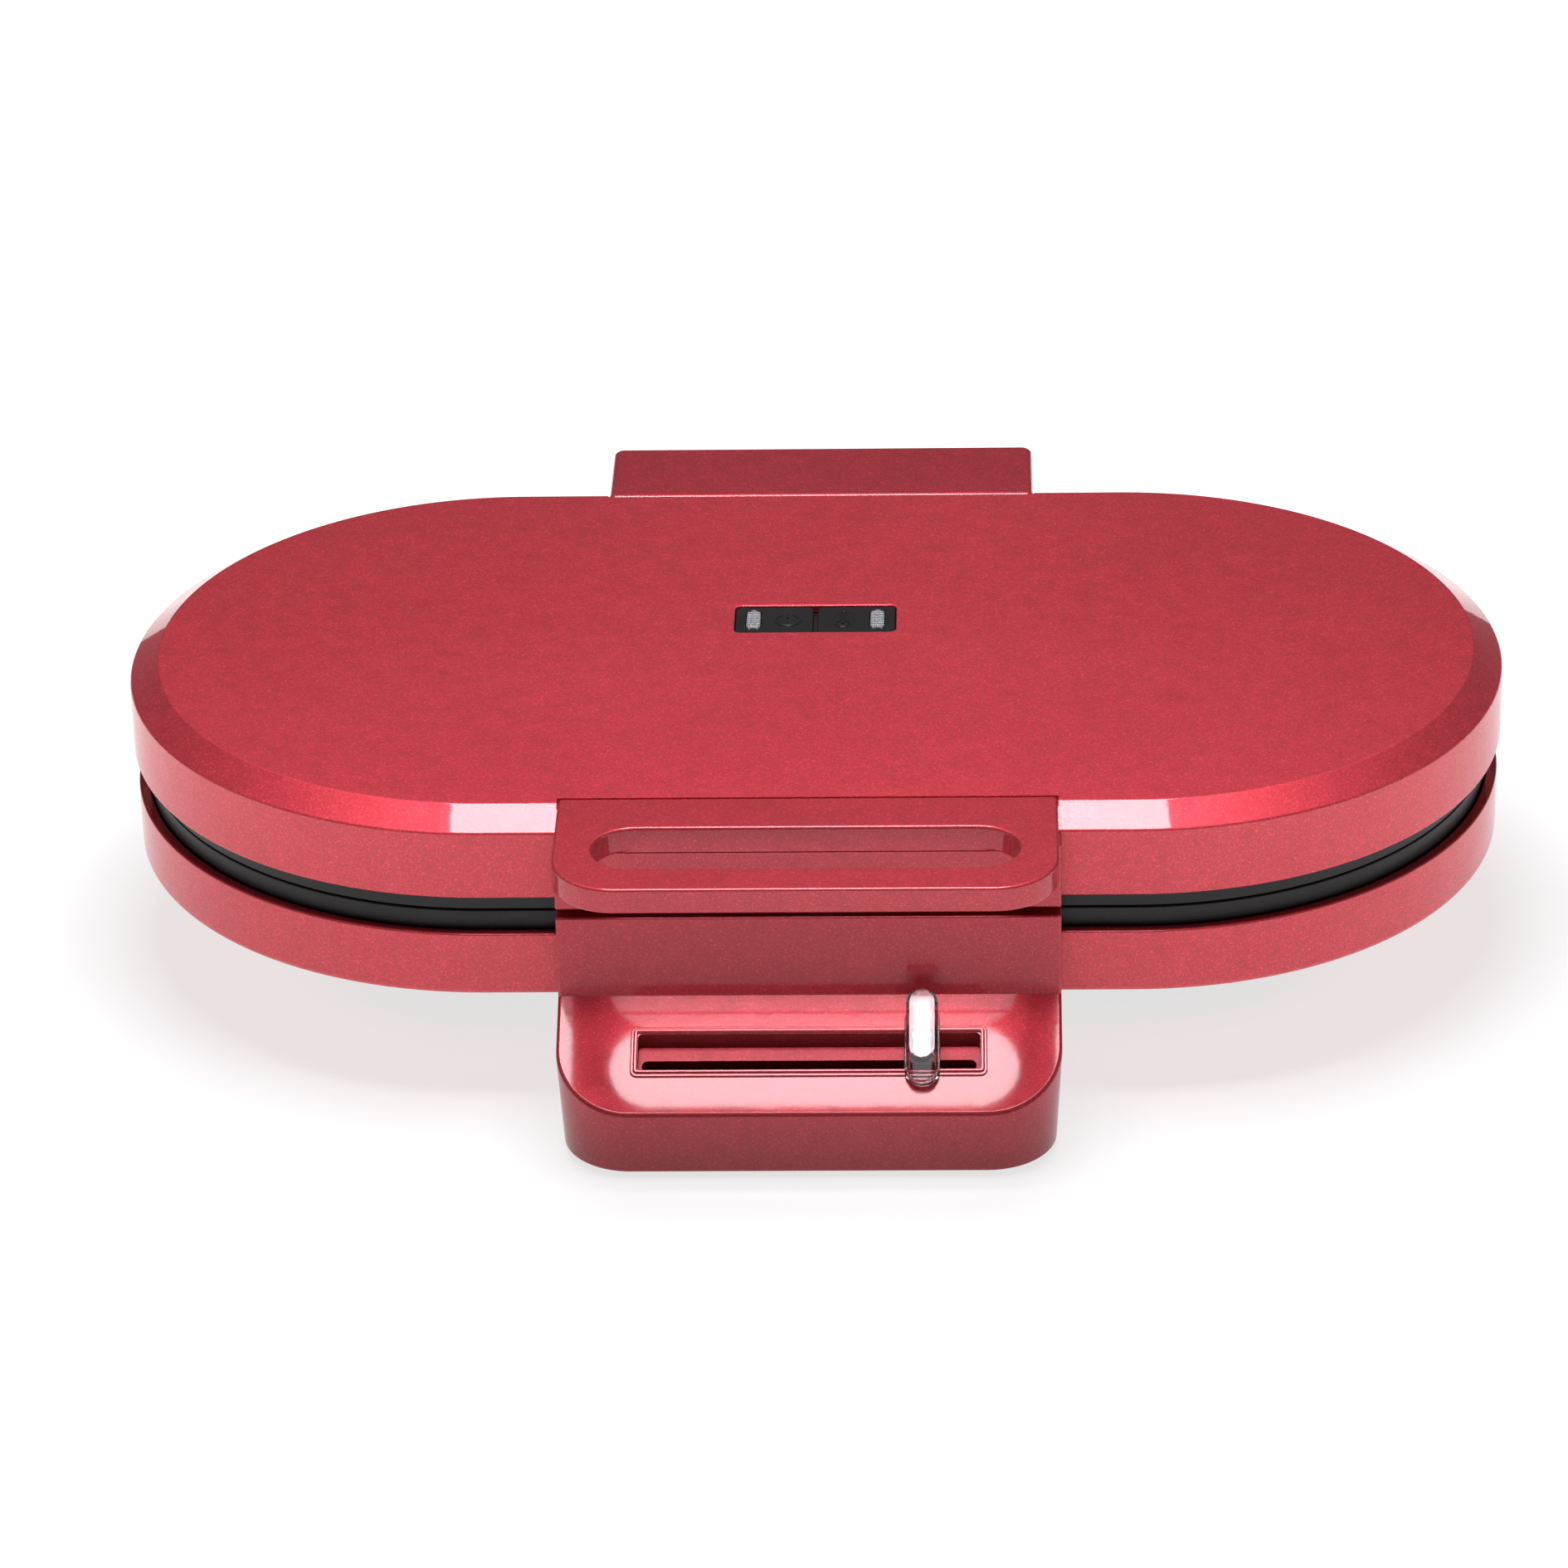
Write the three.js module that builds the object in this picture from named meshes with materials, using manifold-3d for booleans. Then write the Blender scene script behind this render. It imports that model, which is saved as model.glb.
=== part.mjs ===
// Donut maker: a clamshell with a stadium-shaped lid and base, eight ring moulds in each plate,
// a finger-slot handle, a hinge cover at the back and a sloped slider console at the front.
// Millimetres. +X right, +Y back, +Z up. The origin is on the table, under the middle of the
// whole object. The sub-parts are drawn around the middle of the stadium and moved as a group.
import * as THREE from 'three';
import Module from 'manifold-3d';
import { mergeVertices } from 'three/addons/utils/BufferGeometryUtils.js';

const wasm = await Module();
wasm.setup();

// ---- Driving dimensions -------------------------------------------------------------------

const LENGTH = 400; // lid, end to end
const DEPTH = 217.6; // lid, front wall to back wall
const STAND_HEIGHT = 35.2; // table to the lower edge of the base's side wall
const BASE_WALL_HEIGHT = 18.8;
const LOWER_REVEAL = 5.9; // lower plate's edge that shows above the base
const UPPER_REVEAL = 5.7; // upper plate's edge that shows below the lid
const LID_HEIGHT = 25.8;

const LID_CHAMFER_INSET = 8.4;
const LID_CHAMFER_HEIGHT = 5.3;
const SHELL_WALL = 3.8; // side walls of lid and base, with the ribs behind them
const SHELL_ROOF = 2.5;
const BASE_INSET = 0.6; // the base is this much smaller than the lid all round
const PAN_INSET = 40; // the sloping underside runs this far inwards
const PAN_FLOOR_Z = 15.8;
const PAN_FLOOR = 2;
const LEDGE_WIDTH = 4; // the plates' skirts rest on a ledge inside each shell
const LEDGE_HEIGHT = 2;
const NOTCH_DEPTH = 1.2; // handle and hinge cover are let into the lid's top by this much

const HANDLE_WIDTH = 139;
const HANDLE_REACH = 42.4; // in front of the lid's wall
const HANDLE_BACK = 10.8; // behind the lid's wall, on its top
const HANDLE_THICKNESS = 7.6;
const HANDLE_CORNER = 18;
const SLOT_LENGTH = 117.4;
const SLOT_DEPTH = 23.5;
const SLOT_FRONT_RIM = 12.2; // handle left in front of the finger slot

const BLOCK_WIDTH = 140.8; // block under the handle, and the console's width
const BLOCK_GAP = 2.6; // lid block to base block
const CONSOLE_REACH = 36.9; // in front of the block
const CONSOLE_CORNER = 21;
const CONSOLE_DROP = 24.85; // base block's top down to the back of the deck
const CONSOLE_SLOPE_DEG = 24.7;
const CONSOLE_DRAFT = 1.5;
const CONSOLE_FLOOR_Z = 1.8;
const CONSOLE_BACK = 16.8; // runs this far behind the front wall, under the base
const CONSOLE_WALL = 2.2;

const RECESS_LENGTH = 95.2;
const RECESS_DEPTH = 11.5; // front to back, seen from above
const RECESS_SINK = 4.5;
const RECESS_FRAME = 2; // width of the raised frame
const RECESS_FRAME_RISE = 0.8;
const RECESS_SETBACK = 17.7; // block's front to the recess's middle
const SLIT_WIDTH = 3.4;
const REGULATOR_DEPTH = 9;
const REGULATOR_HEIGHT = 9;

const KNOB_WIDTH = 9.2;
const KNOB_DEPTH = 22.6;
const KNOB_RISE = 9.1;
const FLANGE_WIDTH = 9.9;
const FLANGE_DEPTH = 23.8;
const FLANGE_THICKNESS = 1.6;
const KNOB_X = 31.5; // where the slider stands at rest
const STEM_WIDTH = 6;

const PANEL_LENGTH = 47; // window in the lid for the indicator panel
const PANEL_DEPTH = 17.2;
const PANEL_Y = 14.9;
const PANEL_SINK = 0.6;
const PANEL_CORNER = 2;
const LENS_LENGTH = 12;
const LENS_WIDTH = 4.1;
const LENS_X = 18.2;
const LAMP_RADIUS = 1.5;

const HINGE_COVER_WIDTH = 129.6;
const HINGE_COVER_REACH = 26.2; // behind the lid's wall
const HINGE_COVER_FRONT = 9.1; // in front of the lid's back wall, on its top
const HINGE_SETBACK = 13.2; // hinge axis behind the lid's wall
const HINGE_BELOW_PARTING = 2.5;
const HINGE_LUG_RADIUS = 7;
const HINGE_PIN_RADIUS = 2.5;
const HINGE_ARM_X = 52; // inner face of each hinge arm
const HINGE_ARM_WIDTH = 5;
const HINGE_SIDE_PLAY = 0.5; // between each arm and the bracket's lug beside it
const BRACKET_LUG_WIDTH = 7;
const BRACKET_BAR_DEPTH = 6;
const BRACKET_BAR_HEIGHT = 10;

const PLATE_EDGE = 3; // deck and skirt of a plate
const PLATE_SKIRT = 11;
const MOULD_MARGIN = 18.6; // mould to the plate's long edge
const MOULD_SPACING = 12; // mould to mould, front to back
const MOULD_SIDE_SPACING = 8;
const MOULD_END_MARGIN = 3;
const MOULD_DEPTH = 11;
const MOULD_WALL = 2.5;
const POST_RADIUS = 13; // the post that makes the hole in the donut
const HEATER_RADIUS = 3;
const REFLECTOR_DROP = 21; // plate's face to the reflector
const REFLECTOR_THICKNESS = 0.6;
const REFLECTOR_INSET = 14;

const LEG_X = 118;
const LEG_FRONT_Y = -24;
const LEG_BACK_Y = 46;
const LEG_RADIUS = 10;
const PAD_RADIUS = 7;
const PAD_HEIGHT = 1.8;
const CONSOLE_PAD_X = 50;
const COVER_THICKNESS = 2;
const COVER_SCREW_X = 60;
const VENT_COUNT = 5;
const VENT_PITCH = 9;
const VENT_WIDTH = 3;
const VENT_LENGTH = 30;

const GLAND_X = 80;
const GLAND_DROP = 0.45; // the gland's sleeve below the lower plate's skirt
const GLAND_BORE = 3.6;
const GLAND_WALL = 2;
const GLAND_FLANGE = 4.5;

const HANDLE_SCREW_X = 50;
const CONSOLE_SCREW_X = 50;
const CONSOLE_SCREW_DROP = 1.25; // screw heads below the ledge behind them
const PLATE_BOSS_RADIUS = 4.5;
const BOARD_THICKNESS = 1;
const BOARD_POST_X = 8;

const THERMOSTAT_RADIUS = 8.5;
const THERMOSTAT_HEIGHT = 7;
const TERMINAL_WIDTH = 5;
const FUSE_RADIUS = 2;
const FUSE_LENGTH = 16;
const FUSE_X = 32;
const FUSE_Y = -18;
const BLOCK_X = 74; // terminal block
const BLOCK_Y = 31;
const BLOCK_LENGTH = 32;
const BLOCK_DEPTH = 14;
const BLOCK_HEIGHT = 12;

const GAP = 0.3; // between pieces that touch
const PIN_CLEARANCE = 0.1;
const SCREW_RADIUS = 1.5;
const SCREW_HEAD_RADIUS = 3;
const SCREW_HEAD_HEIGHT = 1.6;
const SCREW_HOLE = SCREW_RADIUS + GAP;
const PAST = 5; // how far cutting shapes run past what they cut
const BODY_SEGMENTS = 8; // half the steps of each rounded end of lid and base

// ---- Worked-out sizes ---------------------------------------------------------------------

const RADIUS = DEPTH / 2;
const STRAIGHT = LENGTH / 2 - RADIUS; // half of the stadium's straight side
const RIM_Z = STAND_HEIGHT + BASE_WALL_HEIGHT;
const PARTING_Z = RIM_Z + LOWER_REVEAL;
const LID_BOTTOM_Z = PARTING_Z + UPPER_REVEAL;
const LID_TOP_Z = LID_BOTTOM_Z + LID_HEIGHT;
const ROOF_Z = LID_TOP_Z - SHELL_ROOF;
const PLATE_INSET = SHELL_WALL + 0.4;
const PLATE_RADIUS = RADIUS - PLATE_INSET;
const LOWER_FACE_Z = PARTING_Z - GAP / 2;
const UPPER_FACE_Z = PARTING_Z + GAP / 2;

const HANDLE_FRONT_Y = -RADIUS - HANDLE_REACH;
const HANDLE_BACK_Y = -RADIUS + HANDLE_BACK;
const HANDLE_BOTTOM_Z = LID_TOP_Z - HANDLE_THICKNESS;
const SLOT_Y = HANDLE_FRONT_Y + SLOT_FRONT_RIM + SLOT_DEPTH / 2;
const BLOCK_FRONT_Y = SLOT_Y + SLOT_DEPTH / 2; // the block's face runs on from the slot's back wall
const HANDLE_SCREW_Z = HANDLE_BOTTOM_Z - 5;
const BLOCK_TOP_Z = LID_BOTTOM_Z - BLOCK_GAP;

const CONSOLE_FRONT_Y = BLOCK_FRONT_Y - CONSOLE_REACH;
const CONSOLE_BACK_Y = -RADIUS + CONSOLE_BACK;
const SLOPE = Math.tan(THREE.MathUtils.degToRad(CONSOLE_SLOPE_DEG));
const DECK_BACK_Z = BLOCK_TOP_Z - CONSOLE_DROP;
const DECK_FRONT_Z = DECK_BACK_Z - CONSOLE_REACH * SLOPE;
const RECESS_Y = BLOCK_FRONT_Y - RECESS_SETBACK;
const REGULATOR_TOP_Z = deckZ(RECESS_Y - REGULATOR_DEPTH / 2) - RECESS_SINK - CONSOLE_WALL - 1;
const SLIT_HALF_LENGTH = RECESS_LENGTH / 2 - 1;
const FLOOR_INSET = CONSOLE_DRAFT + CONSOLE_WALL + GAP;
const FLOOR_BOTTOM_Z = CONSOLE_FLOOR_Z + GAP;
const FLOOR_TOP_Z = FLOOR_BOTTOM_Z + COVER_THICKNESS;
const CONSOLE_PAD_Y = CONSOLE_FRONT_Y + 15;
const LOWER_LEDGE_Z = LOWER_FACE_Z - PLATE_SKIRT - GAP - LEDGE_HEIGHT;
const CONSOLE_SCREW_Z = LOWER_LEDGE_Z - CONSOLE_SCREW_DROP - SCREW_HEAD_RADIUS;
const STEM_TOP = KNOB_RISE - 3;
const STEM_THICKNESS = SLIT_WIDTH - 0.8;
const FLANGE_LIFT = RECESS_FRAME_RISE + GAP;

const HINGE_COVER_BACK_Y = RADIUS + HINGE_COVER_REACH;
const HINGE_COVER_FRONT_Y = RADIUS - HINGE_COVER_FRONT;
const HINGE_Y = RADIUS + HINGE_SETBACK;
const HINGE_Z = PARTING_Z - HINGE_BELOW_PARTING;
const BRACKET_HALF = HINGE_ARM_X - HINGE_SIDE_PLAY;

const MOULD_RADIUS = (PLATE_RADIUS - MOULD_MARGIN - MOULD_SPACING / 2) / 2;
const MOULD_Y = MOULD_SPACING / 2 + MOULD_RADIUS;
const MOULD_PITCH = 2 * MOULD_RADIUS + MOULD_SIDE_SPACING;
const MOULD_XS = mouldColumns();
const HEATER_Z = -MOULD_DEPTH - MOULD_WALL - GAP - HEATER_RADIUS;
const REFLECTOR_BACK_Z = UPPER_FACE_Z + REFLECTOR_DROP + REFLECTOR_THICKNESS;
const HEAT_SHIELD_Z = LOWER_FACE_Z - REFLECTOR_DROP - REFLECTOR_THICKNESS;
const BOARD_BOTTOM_Z = REFLECTOR_BACK_Z + 2 * GAP;
const BOARD_TOP_Z = BOARD_BOTTOM_Z + BOARD_THICKNESS;
const GLAND_Z = LOWER_FACE_Z - PLATE_SKIRT - GLAND_DROP - GLAND_BORE - GLAND_WALL;

const COVER_TOP_Z = PAN_FLOOR_Z - GAP;
const COVER_BOTTOM_Z = COVER_TOP_Z - COVER_THICKNESS;
const OPENING_INSET = PAN_INSET + 14;
const COVER_INSET = PAN_INSET + 4;
const COVER_SCREW_Y = RADIUS - (OPENING_INSET + COVER_INSET) / 2;

// Height of the console's sloping deck at a given y.
function deckZ(y) {
  return DECK_BACK_Z + (y - BLOCK_FRONT_Y) * SLOPE;
}

// The x of each column of moulds: as many as the rounded ends of the plate leave room for.
function mouldColumns() {
  const fits = (x) => {
    const pastStraight = Math.max(0, x - STRAIGHT);
    const reach = Math.hypot(pastStraight, MOULD_Y) + MOULD_RADIUS;
    return reach <= PLATE_RADIUS - MOULD_END_MARGIN;
  };
  let count = 1;
  while (fits((count / 2) * MOULD_PITCH)) {
    count += 1;
  }
  return Array.from({ length: count }, (_, i) => (i - (count - 1) / 2) * MOULD_PITCH);
}

// ---- Materials ----------------------------------------------------------------------------

const material = (color, roughness, metalness) =>
  new THREE.MeshStandardMaterial({ color, roughness, metalness });
const clear = (color) =>
  new THREE.MeshStandardMaterial({ color, roughness: 0.1, transparent: true, opacity: 0.5 });

const pearlRed = () => material(0xb23a44, 0.3, 0.35);
const blackPlastic = () => material(0x1a1a1c, 0.45, 0);
const nonStick = () => material(0x2c2c2e, 0.55, 0.3);
const steel = () => material(0xb9bcc0, 0.35, 0.9);
const rubber = () => material(0x202020, 0.9, 0);
const ceramic = () => material(0xe6e0d2, 0.6, 0);
const circuitBoard = () => material(0x9a7b45, 0.6, 0);
const clearPlastic = () => clear(0xf2f4f6);
const lampGlass = () => clear(0xf0b080);

// ---- Solids -------------------------------------------------------------------------------

// A closed geometry as a solid that can be joined and cut.
function solid(geometry) {
  const bare = geometry.clone();
  bare.deleteAttribute('normal');
  bare.deleteAttribute('uv');
  const merged = mergeVertices(bare, 1e-4);
  const index = merged.index.array;
  const triangles = [];
  for (let i = 0; i < index.length; i += 3) {
    const [a, b, c] = [index[i], index[i + 1], index[i + 2]];
    if (a !== b && b !== c && c !== a) {
      triangles.push(a, b, c);
    }
  }
  const vertProperties = new Float32Array(merged.attributes.position.array);
  const triVerts = new Uint32Array(triangles);
  return new wasm.Manifold(new wasm.Mesh({ numProp: 3, vertProperties, triVerts }));
}

function geometryOf(body) {
  const { numProp, vertProperties, triVerts } = body.getMesh();
  const positions = new Float32Array((vertProperties.length / numProp) * 3);
  for (let i = 0; i < positions.length / 3; i += 1) {
    positions.set(vertProperties.subarray(i * numProp, i * numProp + 3), i * 3);
  }
  const geometry = new THREE.BufferGeometry();
  geometry.setAttribute('position', new THREE.BufferAttribute(positions, 3));
  geometry.setIndex(new THREE.BufferAttribute(new Uint32Array(triVerts), 1));
  geometry.computeVertexNormals();
  return geometry;
}

function part(name, body, finish) {
  const mesh = new THREE.Mesh(geometryOf(body), finish);
  mesh.name = name;
  return mesh;
}

const joined = (first, ...rest) => rest.reduce((sum, body) => sum.add(body), first);
const cut = (body, ...tools) => tools.reduce((left, tool) => left.subtract(tool), body);

function box([x0, x1], [y0, y1], [z0, z1]) {
  const geometry = new THREE.BoxGeometry(x1 - x0, y1 - y0, z1 - z0);
  geometry.translate((x0 + x1) / 2, (y0 + y1) / 2, (z0 + z1) / 2);
  return solid(geometry);
}

const symmetricBox = (width, ySpan, zSpan) => box([-width / 2, width / 2], ySpan, zSpan);

// An upright round bar.
function column(radius, [z0, z1], x, y, segments = 16, topRadius = radius) {
  const geometry = new THREE.CylinderGeometry(topRadius, radius, z1 - z0, segments);
  geometry.rotateX(Math.PI / 2);
  geometry.translate(x, y, (z0 + z1) / 2);
  return solid(geometry);
}

// Round bars that lie along X and along Y.
function barX(radius, [x0, x1], y, z, segments = 16) {
  const geometry = new THREE.CylinderGeometry(radius, radius, x1 - x0, segments);
  geometry.rotateZ(Math.PI / 2);
  geometry.translate((x0 + x1) / 2, y, z);
  return solid(geometry);
}

function barY(radius, [y0, y1], x, z, segments = 16) {
  const geometry = new THREE.CylinderGeometry(radius, radius, y1 - y0, segments);
  geometry.translate(x, (y0 + y1) / 2, z);
  return solid(geometry);
}

function prism(shape, [z0, z1], curveSegments = 8) {
  const options = { depth: z1 - z0, bevelEnabled: false, curveSegments };
  const geometry = new THREE.ExtrudeGeometry(shape, options);
  geometry.translate(0, 0, z0);
  return solid(geometry);
}

// A ring turned about the Z axis from a closed profile of (radius, z) points.
function ring(profile, x, y, segments = 16) {
  const outline = profile.map(([r, z]) => new THREE.Vector2(r, z));
  if (THREE.ShapeUtils.isClockWise(outline)) {
    outline.reverse();
  }
  const points = [...outline, outline[0]];
  const geometry = new THREE.LatheGeometry(points, segments);
  geometry.rotateX(Math.PI / 2);
  geometry.translate(x, y, 0);
  return solid(geometry);
}

// A stadium lying along X, with its middle at (x, y).
function stadium(halfStraight, radius, x = 0, y = 0) {
  const shape = new THREE.Shape();
  shape.absarc(x + halfStraight, y, radius, -Math.PI / 2, Math.PI / 2);
  shape.absarc(x - halfStraight, y, radius, Math.PI / 2, (3 * Math.PI) / 2);
  return shape;
}

// A stadium lying along Y.
function stadiumY(width, length, x, y) {
  const halfStraight = (length - width) / 2;
  const shape = new THREE.Shape();
  shape.absarc(x, y + halfStraight, width / 2, 0, Math.PI);
  shape.absarc(x, y - halfStraight, width / 2, Math.PI, 2 * Math.PI);
  return shape;
}

// A rectangle with its own radius at the front corners and at the back corners.
function plate([x0, x1], [y0, y1], frontCorner, backCorner) {
  const shape = new THREE.Shape();
  shape.absarc(x0 + frontCorner, y0 + frontCorner, frontCorner, Math.PI, 1.5 * Math.PI);
  shape.absarc(x1 - frontCorner, y0 + frontCorner, frontCorner, 1.5 * Math.PI, 2 * Math.PI);
  shape.absarc(x1 - backCorner, y1 - backCorner, backCorner, 0, 0.5 * Math.PI);
  shape.absarc(x0 + backCorner, y1 - backCorner, backCorner, 0.5 * Math.PI, Math.PI);
  return shape;
}

// A closed solid through level outlines, each [shape, z], all with the same number of points.
function loft(levels, curveSegments) {
  const rings = levels.map(([shape, z]) =>
    openOutline(shape, curveSegments).map(({ x, y }) => [x, y, z]));
  const count = rings[0].length;
  const last = rings.length - 1;
  const index = [];
  for (let i = 1; i < count - 1; i += 1) {
    index.push(0, i + 1, i);
    index.push(last * count, last * count + i, last * count + i + 1);
  }
  for (let level = 0; level < last; level += 1) {
    for (let i = 0; i < count; i += 1) {
      const a = level * count + i;
      const b = level * count + ((i + 1) % count);
      index.push(a, b, b + count, a, b + count, a + count);
    }
  }
  const geometry = new THREE.BufferGeometry();
  geometry.setAttribute('position', new THREE.Float32BufferAttribute(rings.flat(2), 3));
  geometry.setIndex(index);
  return solid(geometry);
}

// A shape's points, without repeats and without a closing point.
function openOutline(shape, curveSegments) {
  const points = shape.getPoints(curveSegments);
  return points.filter((point, i) => {
    const next = points[(i + 1) % points.length];
    return point.distanceTo(next) > 1e-6;
  });
}

const bodyOutline = (inset) => stadium(STRAIGHT, RADIUS - inset);
const bodyLoft = (levels) =>
  loft(levels.map(([inset, z]) => [bodyOutline(inset), z]), BODY_SEGMENTS);

// Tilts a level solid, drawn with the deck at z = 0, onto the console's deck.
function onDeck(geometry) {
  const tilt = new THREE.Matrix4().makeShear(0, 0, 0, SLOPE, 0, 0);
  geometry.applyMatrix4(tilt);
  geometry.translate(0, 0, deckZ(0));
  return solid(geometry);
}

function deckPrism(shape, [z0, z1], curveSegments = 6) {
  const options = { depth: z1 - z0, bevelEnabled: false, curveSegments };
  const geometry = new THREE.ExtrudeGeometry(shape, options);
  geometry.translate(0, 0, z0);
  return onDeck(geometry);
}

// Everything above a plane at the given height over the deck, in front of the block's face.
function aboveDeck(rise, backY) {
  const width = 2 * BLOCK_WIDTH;
  const depth = DEPTH;
  const geometry = new THREE.BoxGeometry(width, depth, 2 * LID_TOP_Z);
  geometry.translate(0, backY - depth / 2, LID_TOP_Z + rise);
  return onDeck(geometry);
}

// Pan-head screw along Z with its head's flat side at z; up is 1 if the shank points up.
function screwZ(x, y, z, up, length) {
  const head = [z, z - up * SCREW_HEAD_HEIGHT].sort((a, b) => a - b);
  const shank = [z - up * 0.5, z + up * length].sort((a, b) => a - b);
  return column(SCREW_HEAD_RADIUS, head, x, y, 12).add(column(SCREW_RADIUS, shank, x, y, 12));
}

// Pan-head screw along -Y, its head's flat side at y.
function screwY(x, y, z, length) {
  const head = barY(SCREW_HEAD_RADIUS, [y, y + SCREW_HEAD_HEIGHT], x, z, 12);
  return head.add(barY(SCREW_RADIUS, [y - length, y + 0.5], x, z, 12));
}

// ---- Lid ----------------------------------------------------------------------------------

// The outside of the lid, grown by a gap, with the notches for handle and hinge cover.
function lidEnvelope(gap) {
  const body = bodyLoft([
    [-gap, LID_BOTTOM_Z - PAST],
    [-gap, LID_TOP_Z - LID_CHAMFER_HEIGHT],
    [LID_CHAMFER_INSET - gap, LID_TOP_Z + gap],
    [LID_CHAMFER_INSET - gap, LID_TOP_Z + gap + PAST],
  ]);
  return cut(body, ...lidNotches(-gap));
}

function lidNotches(grow) {
  const notchZ = [LID_TOP_Z - NOTCH_DEPTH - grow, LID_TOP_Z + 3 * PAST];
  const handleWidth = HANDLE_WIDTH + 2 * GAP + 2 * grow;
  const coverWidth = HINGE_COVER_WIDTH + 2 * GAP + 2 * grow;
  const front = [-RADIUS - PAST, HANDLE_BACK_Y + GAP + grow];
  const back = [HINGE_COVER_FRONT_Y - GAP - grow, RADIUS + PAST];
  return [symmetricBox(handleWidth, front, notchZ), symmetricBox(coverWidth, back, notchZ)];
}

function lidShell() {
  const skirtTop = UPPER_FACE_Z + PLATE_SKIRT + GAP;
  const outside = bodyLoft([
    [0, LID_BOTTOM_Z],
    [0, LID_TOP_Z - LID_CHAMFER_HEIGHT],
    [LID_CHAMFER_INSET, LID_TOP_Z],
  ]);
  const inside = bodyLoft([
    [SHELL_WALL, LID_BOTTOM_Z - PAST],
    [SHELL_WALL, skirtTop],
    [SHELL_WALL + LEDGE_WIDTH, skirtTop],
    [SHELL_WALL + LEDGE_WIDTH, skirtTop + LEDGE_HEIGHT],
    [SHELL_WALL, skirtTop + LEDGE_HEIGHT],
    [SHELL_WALL, LID_TOP_Z - LID_CHAMFER_HEIGHT - 1.2],
    [LID_CHAMFER_INSET + 1.5, ROOF_Z],
  ]);
  const halfWindow = PANEL_LENGTH / 2 + GAP;
  const halfDepth = PANEL_DEPTH / 2 + GAP;
  const window = prism(
    plate([-halfWindow, halfWindow], [PANEL_Y - halfDepth, PANEL_Y + halfDepth],
      PANEL_CORNER, PANEL_CORNER),
    [ROOF_Z - PAST, LID_TOP_Z + PAST], 3);
  const holes = [-HANDLE_SCREW_X, HANDLE_SCREW_X].map((x) =>
    barY(SCREW_HOLE, [-RADIUS - PAST, -RADIUS + 2 * PAST], x, HANDLE_SCREW_Z, 12));
  return part('lid_shell', cut(outside, inside, window, ...holes, ...lidNotches(0)), pearlRed());
}

function lidHandle() {
  const half = HANDLE_WIDTH / 2;
  const top = prism(
    plate([-half, half], [HANDLE_FRONT_Y, HANDLE_BACK_Y], HANDLE_CORNER, 0.5),
    [HANDLE_BOTTOM_Z, LID_TOP_Z]);
  const slot = prism(
    stadium((SLOT_LENGTH - SLOT_DEPTH) / 2, SLOT_DEPTH / 2, 0, SLOT_Y),
    [HANDLE_BOTTOM_Z - PAST, LID_TOP_Z + PAST], 6);
  const block = symmetricBox(BLOCK_WIDTH, [BLOCK_FRONT_Y, -RADIUS], [LID_BOTTOM_Z, HANDLE_BOTTOM_Z]);
  const bore = [-HANDLE_SCREW_X, HANDLE_SCREW_X].map((x) =>
    barY(SCREW_HOLE, [BLOCK_FRONT_Y + 2, -RADIUS + PAST], x, HANDLE_SCREW_Z, 12));
  return part('lid_handle', cut(joined(top, block), slot, lidEnvelope(GAP), ...bore), pearlRed());
}

function handleScrew(name, x) {
  const body = screwY(x, -RADIUS + SHELL_WALL + GAP, HANDLE_SCREW_Z, SHELL_WALL + 4);
  return part(name, body, steel());
}

function hingeCover() {
  const half = HINGE_COVER_WIDTH / 2;
  const wall = SHELL_ROOF;
  const outside = prism(
    plate([-half, half], [HINGE_COVER_FRONT_Y, HINGE_COVER_BACK_Y], 0.5, 3),
    [LID_BOTTOM_Z, LID_TOP_Z], 3);
  const inside = symmetricBox(
    HINGE_COVER_WIDTH - 2 * wall,
    [RADIUS + GAP + wall, HINGE_COVER_BACK_Y - wall],
    [LID_BOTTOM_Z - PAST, ROOF_Z]);
  return part('hinge_cover', cut(outside, inside, lidEnvelope(GAP)), pearlRed());
}

// Lug that hangs from the cover's roof and turns on the pin.
function hingeArm(name, side) {
  const xs = [HINGE_ARM_X, HINGE_ARM_X + HINGE_ARM_WIDTH].map((x) => side * x).sort((a, b) => a - b);
  const ySpan = [HINGE_Y - HINGE_LUG_RADIUS, HINGE_Y + HINGE_LUG_RADIUS];
  const web = box(xs, ySpan, [HINGE_Z, ROOF_Z - GAP]);
  const foot = barX(HINGE_LUG_RADIUS, xs, HINGE_Y, HINGE_Z);
  const past = [xs[0] - PAST, xs[1] + PAST];
  const hole = barX(HINGE_PIN_RADIUS + PIN_CLEARANCE, past, HINGE_Y, HINGE_Z);
  return part(name, cut(joined(web, foot), hole), blackPlastic());
}

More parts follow.
